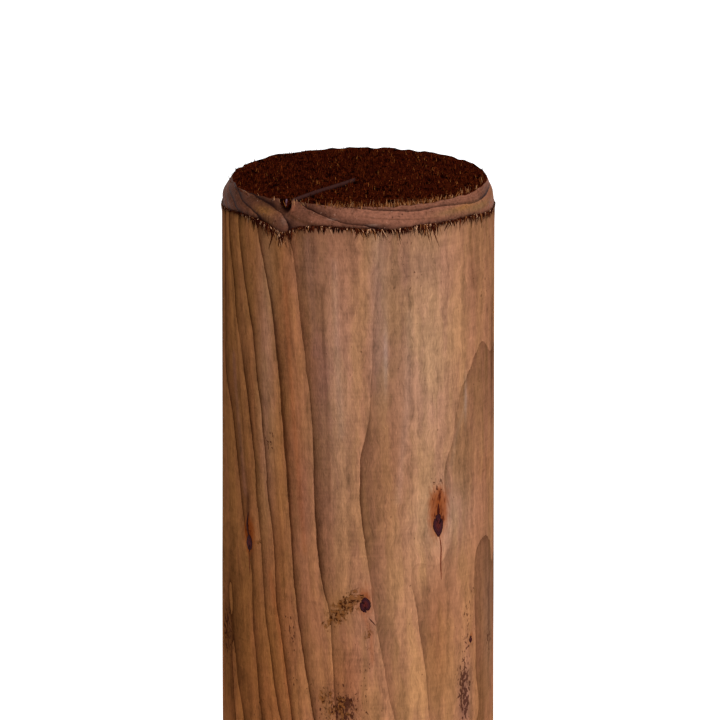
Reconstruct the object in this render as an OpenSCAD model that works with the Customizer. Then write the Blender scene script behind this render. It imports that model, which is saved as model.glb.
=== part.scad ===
// Round softwood fence post, from ground level up. One turned length of wood with a
// chamfered head, the knots that the turning cut through and one drying check.
// Frame: +Z up, origin on the axis at ground level, front of the post towards -Y.
// An azimuth is counted from the front, positive towards +X, in degrees.
// A drop is a depth below the sawn top end.

/* [Shaft] */
// Diameter of the turned shaft
shaft_d = 100; // [60:1:160]
// Height of the post above the ground
post_h = 1200; // [400:10:2400]

/* [Head] */
// Height of the chamfered head, from the shoulder to the sawn end
head_h = 10; // [6:0.5:20]
// Radial step that the chamfer cutter leaves at the shoulder
shoulder_step = 0.4; // [0:0.1:1.5]
// Height of the steep band between the shoulder and the slope
band_h = 4.5; // [1:0.5:5.5]
// Radial run of the slope, from the band to the rim of the sawn end
slope_run = 3; // [1:0.5:10]

/* [Drying check] */
// Width of the check where it opens at the rim
check_w = 1.2; // [0.4:0.1:3]
// Depth of the check below the sawn end
check_depth = 5; // [1:0.5:20]
// Distance of the pith from the axis, towards the front
pith_offset = 6; // [0:0.5:15]

/* [Knots] */
// Azimuth of the knot that the chamfer cuts open
rim_knot_azimuth = -34; // [-180:1:180]
// Width of the socket of that knot
rim_knot_w = 3.6; // [1:0.1:8]
// Depth of the socket of that knot
rim_knot_depth = 4; // [1:0.5:8]
// How deep the faces of the knots on the shaft lie below the turned surface
knot_recess = 0.5; // [0.2:0.1:1.5]

/* [Hidden] */

// Knots on the shaft, one whorl of branches to a row: azimuth, drop, width and height of the face.
SHAFT_KNOTS = [
    [[36, 121, 5, 9], [3, 149, 5, 7], [-53, 131, 4, 7.5], [56, 168, 3, 4], [164, 139, 7, 10]],
    [[-112, 352, 8, 12], [-20, 371, 6, 9], [88, 360, 9, 13], [171, 343, 5, 8]],
    [[24, 604, 9, 14], [118, 589, 6, 9], [-76, 617, 7, 11], [-158, 598, 8, 12]],
    [[-44, 842, 8, 12], [62, 829, 5, 8], [146, 851, 9, 13], [-128, 836, 6, 10]],
    [[12, 1063, 7, 11], [102, 1078, 8, 12], [-94, 1056, 9, 13], [-166, 1084, 5, 8]]
];
function knot_azimuth(knot) = knot[0];
function knot_drop(knot) = knot[1];
function knot_w(knot) = knot[2];
function knot_h(knot) = knot[3];

FINE = 96;
SOFT = 32;
SKIN = 1;               // how far a cutting shape runs past the surface that it cuts
KNOT_TAPER = 0.7;       // width of a knot at the bottom of its recess, as a share of its face
CHECK_START = 0.2;      // width of the check at the pith, as a share of its width at the rim

shaft_r = shaft_d / 2;
shoulder_z = post_h - head_h;
band_r = shaft_r - shoulder_step;
rim_r = band_r - slope_run;
rim_knot_drop = head_h / 2;

// A point at an azimuth and a distance from the axis.
function around(azimuth, r) = [r * sin(azimuth), -r * cos(azimuth)];

// Carries its children from the origin to the surface at an azimuth, with +Z pointing outwards.
module on_surface(azimuth, r, z) {
    rotate([0, 0, azimuth]) translate([0, -r, z]) rotate([90, 0, 0]) children();
}

// The turned shaft and its chamfered head, as one lathe profile.
module turned_post() {
    rotate_extrude($fn = FINE)
        polygon([
            [0, 0], [shaft_r, 0], [shaft_r, shoulder_z],
            [band_r, shoulder_z], [band_r, shoulder_z + band_h],
            [rim_r, post_h], [0, post_h]
        ]);
}

// A crack that starts fine at the pith and opens towards the rim knot.
module drying_check() {
    start = [0, -pith_offset];
    end = around(rim_knot_azimuth, shaft_r);
    run = end - start;
    side = [-run[1], run[0]] / norm(run) * check_w / 2;
    translate([0, 0, post_h - check_depth])
        linear_extrude(height = check_depth + SKIN)
            polygon([
                start - side * CHECK_START, end - side,
                end + side, start + side * CHECK_START
            ]);
}

// The open socket of the knot that the chamfer cut through, narrowing inwards as a branch does.
module rim_knot_socket() {
    on_surface(rim_knot_azimuth, band_r - rim_knot_depth, post_h - rim_knot_drop)
        cylinder(
            h = rim_knot_depth + SKIN, d1 = rim_knot_w * KNOT_TAPER, d2 = rim_knot_w, $fn = SOFT
        );
}

// The shallow recess of one knot face: an upright oval with round ends, as wide as the branch.
module knot_recess_cut(knot) {
    reach = (knot_h(knot) - knot_w(knot)) / 2;
    on_surface(knot_azimuth(knot), shaft_r - knot_recess, post_h - knot_drop(knot))
        linear_extrude(height = knot_recess + SKIN) {
            for (end = [-reach, reach]) translate([0, end]) circle(d = knot_w(knot), $fn = SOFT);
            square([knot_w(knot), 2 * reach], center = true);
        }
}

module post() {
    color("peru")
        difference() {
            turned_post();
            drying_check();
            rim_knot_socket();
            for (whorl = SHAFT_KNOTS, knot = whorl)
                if (knot_drop(knot) + knot_h(knot) < post_h) knot_recess_cut(knot);
        }
}

post();
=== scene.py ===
"""Round softwood fence post: turned shaft, chamfered head, sawn end, knots and torn fibres.

Lengths in the classes are millimetres and azimuths are degrees, counted from the front (-Y)
and positive towards +X. A drop is a depth below the sawn end. Meshes are written in metres.
"""

import logging
import math
from abc import ABC, abstractmethod
from collections.abc import Callable
from dataclasses import dataclass, field
from enum import Enum
from functools import cached_property

import bpy
import numpy as np
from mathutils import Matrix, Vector


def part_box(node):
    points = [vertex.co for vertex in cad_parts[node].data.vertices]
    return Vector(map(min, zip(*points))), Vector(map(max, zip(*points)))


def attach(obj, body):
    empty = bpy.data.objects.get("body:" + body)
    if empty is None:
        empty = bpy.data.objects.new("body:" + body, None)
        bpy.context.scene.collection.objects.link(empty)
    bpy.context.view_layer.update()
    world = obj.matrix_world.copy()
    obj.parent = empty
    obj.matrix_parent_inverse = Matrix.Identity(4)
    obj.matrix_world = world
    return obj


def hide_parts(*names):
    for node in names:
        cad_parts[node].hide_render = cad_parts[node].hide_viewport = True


Array = np.ndarray
Colour = tuple[float, float, float]
Socket = bpy.types.NodeSocket

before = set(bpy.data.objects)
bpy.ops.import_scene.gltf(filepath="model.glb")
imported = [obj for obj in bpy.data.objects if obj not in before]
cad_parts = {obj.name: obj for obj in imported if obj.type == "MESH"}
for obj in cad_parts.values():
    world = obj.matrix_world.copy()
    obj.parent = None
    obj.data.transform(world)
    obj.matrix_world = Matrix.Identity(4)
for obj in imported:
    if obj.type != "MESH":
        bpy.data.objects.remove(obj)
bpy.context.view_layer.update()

log = logging.getLogger("fence_post")

METRES = 0.001
NODE = "post"
BODY = "root"


# ---------------------------------------------------------------------------- numbers and shapes


def linear(red: int, green: int, blue: int) -> Colour:
    """Turns a display colour (0 to 255) into the linear colour that a shader takes.

    Args:
        red: Display red.
        green: Display green.
        blue: Display blue.

    Returns:
        The same colour in linear light: the sRGB curve undone channel by channel.
    """
    channels = np.array([red, green, blue]) / 255
    low, high = channels / 12.92, ((channels + 0.055) / 1.055) ** 2.4
    return tuple(float(c) for c in np.where(channels <= 0.04045, low, high))


def smooth_step(value: Array, start: float, end: float) -> Array:
    """Rises from 0 at start to 1 at end as 3t^2 - 2t^3."""
    t = np.clip((value - start) / (end - start), 0, 1)
    return t * t * (3 - 2 * t)


def turn_between(azimuth: Array, centre: Array) -> Array:
    """Signed angle from centre to azimuth, wrapped into -180 to 180 degrees."""
    return (azimuth - centre + 180) % 360 - 180


def bell(azimuth: Array, drop: Array, centre: tuple[float, float], reach: tuple[float, float]) -> Array:
    """Gives a soft oval spot on the unrolled surface.

    Args:
        azimuth: Azimuths of the points.
        drop: Drops of the points.
        centre: Azimuth and drop of the middle.
        reach: Degrees and millimetres at which the spot has fallen to about a third.

    Returns:
        exp(-(da/reach_a)^2 - (dd/reach_d)^2) at each point.
    """
    across = turn_between(azimuth, centre[0]) / reach[0]
    along = (drop - centre[1]) / reach[1]
    return np.exp(-(across**2) - along**2)


def around(azimuth: Array, radius: Array, height: Array) -> Array:
    """Points on a round of the given radius: x = r sin(a), y = -r cos(a), z = height."""
    turn = np.radians(azimuth)
    return np.stack(np.broadcast_arrays(radius * np.sin(turn), -radius * np.cos(turn), height), axis=-1)


def near_path(azimuth: Array, drop: Array, path: tuple[tuple[float, float], ...], width: float) -> Array:
    """Gives a soft stroke along a path on the unrolled surface.

    Args:
        azimuth: Azimuths of the points.
        drop: Drops of the points.
        path: Azimuth and drop of the corners of the path.
        width: Millimetres from the path at which the stroke has fallen to about a third.

    Returns:
        exp(-(distance / width)^2), with a degree taken as 0.87 mm.
    """
    degree = 0.87
    nearest = np.full(np.broadcast(azimuth, drop).shape, np.inf)
    for (a0, d0), (a1, d1) in zip(path[:-1], path[1:]):
        run, fall = (a1 - a0) * degree, d1 - d0
        across, along = turn_between(azimuth, a0) * degree, drop - d0
        share = np.clip((across * run + along * fall) / (run**2 + fall**2), 0, 1)
        nearest = np.minimum(nearest, np.hypot(across - share * run, along - share * fall))
    return np.exp(-((nearest / width) ** 2))


def from_bark(number: Array) -> Array:
    """Ring place counted inwards; its fraction is the share of a ring behind that ring's edge."""
    return 60 - number


def lattice_value(column: Array, row: Array, seed: int) -> Array:
    """Random height from -1 to 1 for each whole column and row: the fraction of a steep sine."""
    mixed = np.sin(column * 127.1 + row * 311.7 + seed * 74.7) * 43758.5453
    return (mixed - np.floor(mixed)) * 2 - 1


def noise(across: Array, along: Array, seed: int, wrap: int = 0) -> Array:
    """Gives smooth random heights from -1 to 1 with bumps one unit wide.

    The four lattice heights round a point are blended by 3t^2 - 2t^3 in both directions.

    Args:
        across: First coordinate.
        along: Second coordinate.
        seed: Picks another pattern.
        wrap: Whole number of columns after which the pattern repeats, or 0 for never.

    Returns:
        One height for each point.
    """
    column, row = np.floor(across), np.floor(along)
    right, down = smooth_step(across - column, 0, 1), smooth_step(along - row, 0, 1)
    columns = [column, column + 1]
    if wrap:
        columns = [c % wrap for c in columns]
    corners = [[lattice_value(c, row + step, seed) for c in columns] for step in (0, 1)]
    upper = corners[0][0] * (1 - right) + corners[0][1] * right
    lower = corners[1][0] * (1 - right) + corners[1][1] * right
    return upper * (1 - down) + lower * down


# ---------------------------------------------------------------------------- meshes


@dataclass
class Shape:
    """Points, faces and point values of one closed piece.

    Attributes:
        points: (n, 3) in millimetres.
        quads: (q, 4) point numbers, facing outwards.
        triangles: (t, 3) point numbers, facing outwards.
        values: Point attributes by name, (n,) or (n, 3).
    """

    points: Array
    quads: Array
    triangles: Array
    values: dict[str, Array] = field(default_factory=dict)

    @staticmethod
    def joined(shapes: list["Shape"]) -> "Shape":
        """Puts several shapes with the same value names into one."""
        starts = np.cumsum([0] + [len(s.points) for s in shapes[:-1]])
        return Shape(
            np.concatenate([s.points for s in shapes]),
            np.concatenate([s.quads + start for s, start in zip(shapes, starts)]),
            np.concatenate([s.triangles + start for s, start in zip(shapes, starts)]),
            {name: np.concatenate([s.values[name] for s in shapes]) for name in shapes[0].values},
        )

    def piece(
        self, name: str, materials: list[bpy.types.Material], slots: Array | None = None
    ) -> bpy.types.Object:
        """Makes the Blender object of this shape and attaches it to the post's body.

        Args:
            name: Name of the piece.
            materials: Finishes, in slot order.
            slots: Slot number of each quad and then each triangle, or None for slot 0.

        Returns:
            The new object, riding on the post's body.
        """
        mesh = bpy.data.meshes.new(name)
        loops = np.concatenate([self.quads.ravel(), self.triangles.ravel()])
        corners = np.concatenate([np.full(len(self.quads), 4), np.full(len(self.triangles), 3)])
        mesh.vertices.add(len(self.points))
        mesh.vertices.foreach_set("co", (self.points * METRES).ravel())
        mesh.loops.add(len(loops))
        mesh.loops.foreach_set("vertex_index", loops)
        mesh.polygons.add(len(corners))
        mesh.polygons.foreach_set("loop_start", np.concatenate([[0], np.cumsum(corners)[:-1]]))
        mesh.polygons.foreach_set("use_smooth", np.ones(len(corners), bool))
        for material in materials:
            mesh.materials.append(material)
        if slots is not None:
            mesh.polygons.foreach_set("material_index", slots)
        for label, value in self.values.items():
            flat = value.ndim == 1
            kind, entry = ("FLOAT", "value") if flat else ("FLOAT_VECTOR", "vector")
            mesh.attributes.new(label, kind, "POINT").data.foreach_set(entry, value.ravel())
        mesh.update(calc_edges=True)
        mesh.validate()
        made = bpy.data.objects.new(name, mesh)
        bpy.context.scene.collection.objects.link(made)
        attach(made, BODY)
        log.info("%s: %d triangles", name, 2 * len(self.quads) + len(self.triangles))
        return made


def lathe(points: Array) -> Shape:
    """Closes rows of points round the axis into one skin.

    Row i, column j is joined to its neighbours, and the last column to the first. The first and
    the last row shrink to single poles at the mean of their points.

    Args:
        points: (rows, columns, 3), rows from the lower pole outwards, up and inwards to the upper
            pole, columns with rising azimuth.

    Returns:
        The closed shape, without point values.
    """
    rows, columns = points.shape[0] - 2, points.shape[1]
    number = 1 + np.arange(rows * columns).reshape(rows, columns)
    after = np.roll(number, -1, axis=1)
    quads = np.stack([number[:-1], after[:-1], after[1:], number[1:]], axis=-1).reshape(-1, 4)
    top = 1 + rows * columns
    lower = np.stack([after[0], number[0], np.zeros(columns, int)], axis=-1)
    upper = np.stack([number[-1], after[-1], np.full(columns, top)], axis=-1)
    return Shape(pole_values(points), quads, np.concatenate([lower, upper]))


def pole_values(grid: Array) -> Array:
    """Flattens lathe rows of points or values, with each end row reduced to its mean."""
    body = grid[1:-1].reshape(-1, *grid.shape[2:])
    return np.concatenate([grid[:1].mean(axis=1), body, grid[-1:].mean(axis=1)])


def slivers(spine: Array, side: Array, lift: Array) -> Shape:
    """Makes closed four-cornered slivers.

    Corner k of a section is spine + side cos(k 90) + lift sin(k 90), and both ends are flat.

    Args:
        spine: (count, sections, 3) middle lines.
        side: (count, sections, 3) half widths, as vectors.
        lift: (count, sections, 3) half thicknesses, as vectors, with side x lift along the spine.

    Returns:
        All the slivers as one shape, without point values.
    """
    corners = np.stack([spine + side, spine + lift, spine - side, spine - lift], axis=2)
    count, sections = corners.shape[:2]
    number = np.arange(count * sections * 4).reshape(count, sections, 4)
    after = np.roll(number, -1, axis=2)
    walls = np.stack([number[:, :-1], after[:, :-1], after[:, 1:], number[:, 1:]], axis=-1)
    ends = np.concatenate([number[:, 0, ::-1], number[:, -1]])
    quads = np.concatenate([walls.reshape(-1, 4), ends])
    return Shape(corners.reshape(-1, 3), quads, np.zeros((0, 3), int))


# ---------------------------------------------------------------------------- the wood itself


@dataclass(frozen=True)
class Knot:
    """A branch that the turning cut through.

    Attributes:
        azimuth: Place round the post.
        drop: Place below the sawn end.
        width: Width of the face.
        height: Height of the face.
        resin: How far resin has stained the wood above the knot, from 0 to 1.
    """

    azimuth: float
    drop: float
    width: float
    height: float
    resin: float = 0.4

    def spot(
        self, azimuth: Array, drop: Array, radius: float, reach: tuple[float, float], above: float = 0.0
    ) -> Array:
        """Gives a soft oval round the knot.

        Args:
            azimuth: Azimuths of the points.
            drop: Drops of the points.
            radius: Radius of the post.
            reach: Its reach across and along, as shares of the knot's width and height.
            above: How far it lies above the knot, as a share of the knot's height.

        Returns:
            The bell of the two reaches at each point.
        """
        spread = (math.degrees(self.width / radius) * reach[0], self.height * reach[1])
        return bell(azimuth, drop, (self.azimuth, self.drop - above * self.height), spread)


FRONT_KNOTS = (
    Knot(36, 121, 5, 9, 1.0),
    Knot(3, 149, 4, 6, 0.25),
    Knot(-53, 131, 3.6, 6.5, 0.8),
    Knot(56, 168, 2, 3, 0.1),
)
OTHER_KNOTS = (
    Knot(164, 139, 7, 10),
    Knot(-112, 352, 8, 12, 0.7),
    Knot(-20, 371, 6, 9, 0.8),
    Knot(88, 360, 9, 13),
    Knot(171, 343, 5, 8),
    Knot(24, 604, 9, 14, 0.6),
    Knot(118, 589, 6, 9, 0.8),
    Knot(-76, 617, 7, 11),
    Knot(-158, 598, 8, 12, 0.9),
    Knot(-44, 842, 8, 12, 0.5),
    Knot(62, 829, 5, 8, 0.9),
    Knot(146, 851, 9, 13),
    Knot(-128, 836, 6, 10, 0.8),
    Knot(12, 1063, 7, 11, 0.9),
    Knot(102, 1078, 8, 12),
    Knot(-94, 1056, 9, 13, 0.6),
    Knot(-166, 1084, 5, 8, 0.8),
)
RIM_KNOT_AZIMUTH = -34.0


@dataclass(frozen=True)
class RingLine:
    """Where one growth ring shows on the turned surface near the head.

    Attributes:
        number: Ring number, counted from the pith; a half lies midway between two lines.
        path: Azimuth and drop of points along the line.
    """

    number: float
    path: tuple[tuple[float, float], ...]


RING_LINES = (
    RingLine(27, ((-71, 150), (-65, 172), (-60, 190), (-57, 205))),
    RingLine(
        26,
        ((-77, 65), (-67, 85), (-61, 106), (-57, 123), (-51.3, 142), (-50.2, 163), (-47, 185), (-45, 200)),
    ),
    RingLine(
        25,
        ((-71, 11), (-65.5, 34), (-59.5, 56), (-54, 76), (-49.5, 99), (-46.3, 123), (-44, 145))
        + ((-40.5, 168), (-35.5, 192), (-33, 205)),
    ),
    RingLine(
        24,
        ((-61, 8), (-57, 29), (-51.3, 48), (-47.8, 68), (-44.3, 88), (-41.6, 110), (-38, 131))
        + ((-36.7, 151), (-32.7, 172), (-29.5, 192), (-27.5, 205)),
    ),
    RingLine(
        23,
        ((-46.5, 8), (-43, 26), (-38.8, 42), (-36.2, 60), (-33.8, 82), (-31.8, 100), (-30.2, 119))
        + ((-28.5, 136), (-26.2, 154), (-23.2, 172), (-20, 189), (-17, 205)),
    ),
    RingLine(
        22,
        ((-29, 6), (-27, 25), (-24.5, 45), (-21.7, 64), (-19.5, 82), (-18.9, 100), (-17.9, 123))
        + ((-15.7, 140), (-11.9, 154), (-10.7, 172), (-9, 192), (-7, 205)),
    ),
    RingLine(
        21,
        ((9.5, 8), (7.5, 32), (6, 58), (4, 82), (2, 89), (1, 95), (0.6, 104), (0.9, 112), (3, 127))
        + ((5.5, 142), (8.2, 160), (11.1, 173), (14.2, 188), (16.5, 200)),
    ),
    RingLine(
        20,
        ((75.5, 62.5), (69, 58.5), (62.5, 57.5), (58.4, 61.5), (54, 66), (49.5, 71), (46.5, 78), (44.3, 88))
        + ((41.5, 95), (39, 103), (39.5, 110), (42.5, 117), (43.5, 125), (41, 132), (36, 136), (31, 135.5))
        + ((26, 134.5), (23, 139), (24.1, 147), (25.7, 154), (27.2, 162), (29.7, 177), (32.5, 205)),
    ),
    RingLine(
        19,
        ((78.5, 143), (76, 135.5), (72.5, 132.5), (67.5, 131), (62.4, 133), (59.2, 137), (58.4, 144))
        + ((58.7, 154), (59.6, 165), (61.2, 186), (62, 198)),
    ),
    RingLine(20.45, ((29, 96), (27, 106), (27, 116), (27, 124), (34, 108), (33, 118), (33, 127))),
)

HEAD_RING_LINES = (
    RingLine(25, ((-86, 4), (-80, 5.2), (-75, 7.5), (-72, 9))),
    RingLine(24, ((-84, 2.2), (-77, 3.2), (-70, 4.3), (-65, 6), (-60, 8.2))),
    RingLine(23, ((-79, 0), (-70, 1.3), (-62, 3.2), (-54, 4.6), (-48, 6.5))),
    RingLine(22, ((-62, -0.2), (-54, 0.6), (-46, 1.6), (-40, 2.8), (-35, 4.5), (-31, 8))),
    RingLine(21, ((-29, -0.2), (-23, 1.5), (-17, 2.9), (-11, 4.4), (-4, 5.8), (8, 8))),
    RingLine(
        20,
        ((-10, -0.2), (0, 0.6), (12, 1.4), (25, 2.4), (38, 2), (50, 2.8), (60, 3.8), (67, 3.9))
        + ((76, 3.4), (84, 2.8), (100, 2.4)),
    ),
    RingLine(19.5, ((30, 0), (50, 0.4), (70, 0.6))),
)


class LineFit:
    """Pulls a plain ring number towards known ring lines.

    What the lines lack in the plain number is spread between them as a sum of wide and narrow
    Gaussian bumps, one pair for each known point, weighted so that the lines come out right.
    """

    def __init__(
        self,
        lines: tuple[RingLine, ...],
        plain: Callable[[Array, Array], Array],
        wide: tuple[float, float],
        narrow: tuple[float, float],
        slack: float = 0.004,
    ) -> None:
        """Solves for the weights.

        Args:
            lines: The known lines.
            plain: Gives the plain ring number at azimuths and drops.
            wide: Reach of the wide bumps in degrees and millimetres.
            narrow: Reach of the narrow bumps.
            slack: How far the fit may miss, to stay smooth.
        """
        self.wide, self.narrow = wide, narrow
        self.known = np.array([point for line in lines for point in line.path], float)
        numbers = np.array([line.number for line in lines for _ in line.path], float)
        lack = numbers - plain(self.known[:, 0], self.known[:, 1])
        self.weights = np.linalg.solve(self.pull(self.known) + slack * np.eye(len(lack)), lack)

    def pull(self, places: Array) -> Array:
        """How strongly each known point pulls on each place."""
        across = turn_between(places[:, None, 0], self.known[None, :, 0])
        along = places[:, None, 1] - self.known[None, :, 1]
        total = np.zeros(across.shape)
        for share, reach in ((1.0, self.wide), (0.25, self.narrow)):
            total += share * np.exp(-0.5 * ((across / reach[0]) ** 2 + (along / reach[1]) ** 2))
        return total

    def correction(self, azimuth: Array, drop: Array) -> Array:
        """What to add to the plain ring number at each point."""
        azimuth, drop = np.broadcast_arrays(turn_between(azimuth, 0), drop)
        flat = np.zeros(azimuth.size)
        lowest = self.known[:, 1].max() + 3 * self.wide[1]
        near = np.flatnonzero((drop.ravel() < lowest) & (np.abs(azimuth.ravel()) < 145))
        places = np.stack([azimuth.ravel()[near], drop.ravel()[near]], axis=-1)
        flat[near] = self.pull(places) @ self.weights
        return flat.reshape(azimuth.shape)


@dataclass(frozen=True)
class GrowthRings:
    """The annual rings of the log, as a ring number at any point of it.

    Far from the head the number on the turned surface is lean * (1 - cos(a - a0))^power above the
    side where the pith is near, less the taper of the log down the drop. Near the head the known
    ring lines pull the number to theirs.

    Attributes:
        radius: Radius of the shaft.
        height: Height of the post.
        near_number: Ring number at the sawn end on the side where the pith is near.
        lean: Rings gained on the way to the far side.
        power: How sharply they are gained.
        near_azimuth: Azimuth of the side where the pith is near.
        pith_top: X and Y of the pith at the sawn end.
        pith_base: X and Y of the pith at the ground.
    """

    radius: float
    height: float
    near_number: float = 20.8
    lean: float = 3.25
    power: float = 1.35
    near_azimuth: float = 65.0
    pith_top: tuple[float, float] = (-1.5, -4.5)
    pith_base: tuple[float, float] = (7.0, 2.0)

    def far_number(self, azimuth: Array, drop: Array) -> Array:
        """Ring number from the shape of the log alone, with slow waves and with knots."""
        swing = 34 * np.sin(drop / 190) * smooth_step(drop, 120, 420)
        lean = self.lean * (1 + 0.22 * np.sin(drop / 260 + 0.4) * smooth_step(drop, 150, 500))
        offset = 1 - np.cos(np.radians(turn_between(azimuth, self.near_azimuth + swing)))
        taper = 200 / 73 * (1 - np.exp(-drop / 200)) + drop / 190
        turn = azimuth / 360
        waves = 0.34 * noise(turn * 9, drop / 120, 3, 9) + 0.13 * noise(turn * 22, drop / 52, 4, 22)
        number = self.near_number + lean * offset**self.power - taper + waves
        for knot in OTHER_KNOTS:
            reach = (knot.width * 1.35, knot.height * 1.9)
            number = number - 0.75 * bell(azimuth, drop, (knot.azimuth, knot.drop), reach)
        return number

    @cached_property
    def fit(self) -> LineFit:
        """The pull of the known lines below the head."""
        return LineFit(RING_LINES, self.far_number, (15.0, 42.0), (5.0, 9.0))

    def on_surface(self, azimuth: Array, drop: Array) -> Array:
        """Ring number on the turned surface, largest under the bark."""
        return self.far_number(azimuth, drop) + self.fit.correction(azimuth, drop)

    def pith(self, drop: Array) -> Array:
        """X and Y of the pith: a straight line from the sawn end to the ground, with a slow bow."""
        share = (drop / self.height)[..., None]
        bow = np.array([3.0, -2.5]) * np.sin(np.pi * share)
        return np.array(self.pith_top) * (1 - share) + np.array(self.pith_base) * share + bow

    def inside(self, x: Array, y: Array, drop: Array) -> Array:
        """Gives the ring number anywhere in the post.

        A line from the pith through the point meets the turned surface, and the number there falls
        evenly to nothing at the pith.

        Args:
            x: X of the points.
            y: Y of the points.
            drop: Drops of the points.

        Returns:
            One ring number for each point.
        """
        pith = self.pith(drop)
        away = np.stack([x, y], axis=-1) - pith
        reach = np.linalg.norm(away, axis=-1) + 1e-6
        heading = away / reach[..., None]
        towards = (pith * heading).sum(axis=-1)
        full = -towards + np.sqrt(towards**2 + self.radius**2 - (pith**2).sum(axis=-1))
        meets = pith + heading * full[..., None]
        azimuth = np.degrees(np.arctan2(meets[..., 0], -meets[..., 1]))
        return self.on_surface(azimuth, np.maximum(drop, 6.0)) * np.minimum(reach / full, 1.02)


@dataclass(frozen=True)
class Fade:
    """A soft spot where ring lines, torn wood or specks show more or less than elsewhere.

    Attributes:
        azimuth: Middle of the spot.
        drop: Middle of the spot.
        reach: Degrees and millimetres that it spreads.
        change: What it adds in its middle, 1 being the usual strength of a line.
    """

    azimuth: float
    drop: float
    reach: tuple[float, float]
    change: float

    @staticmethod
    def total(spots: tuple["Fade", ...], azimuth: Array, drop: Array) -> Array:
        """What several spots add together at each point."""
        return sum(s.change * bell(azimuth, drop, (s.azimuth, s.drop), s.reach) for s in spots)


LINE_FADES = (
    Fade(7, 35, (9, 34), -0.45),
    Fade(2, 112, (6, 26), 0.45),
    Fade(-33, 85, (6, 45), 0.35),
    Fade(-27, 25, (5, 22), -0.25),
    Fade(-60, 57, (4, 9), -0.5),
    Fade(42, 120, (7, 14), -0.75),
    Fade(33, 137, (7, 7), -0.8),
    Fade(24, 139, (6, 8), -0.65),
    Fade(47, 80, (7, 16), -0.4),
    Fade(-72, 75, (9, 22), 0.1),
    Fade(-15, 115, (5, 30), 0.55),
    Fade(70, 30, (20, 22), -0.5),
    Fade(-78, 158, (5, 20), -0.6),
)


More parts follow.
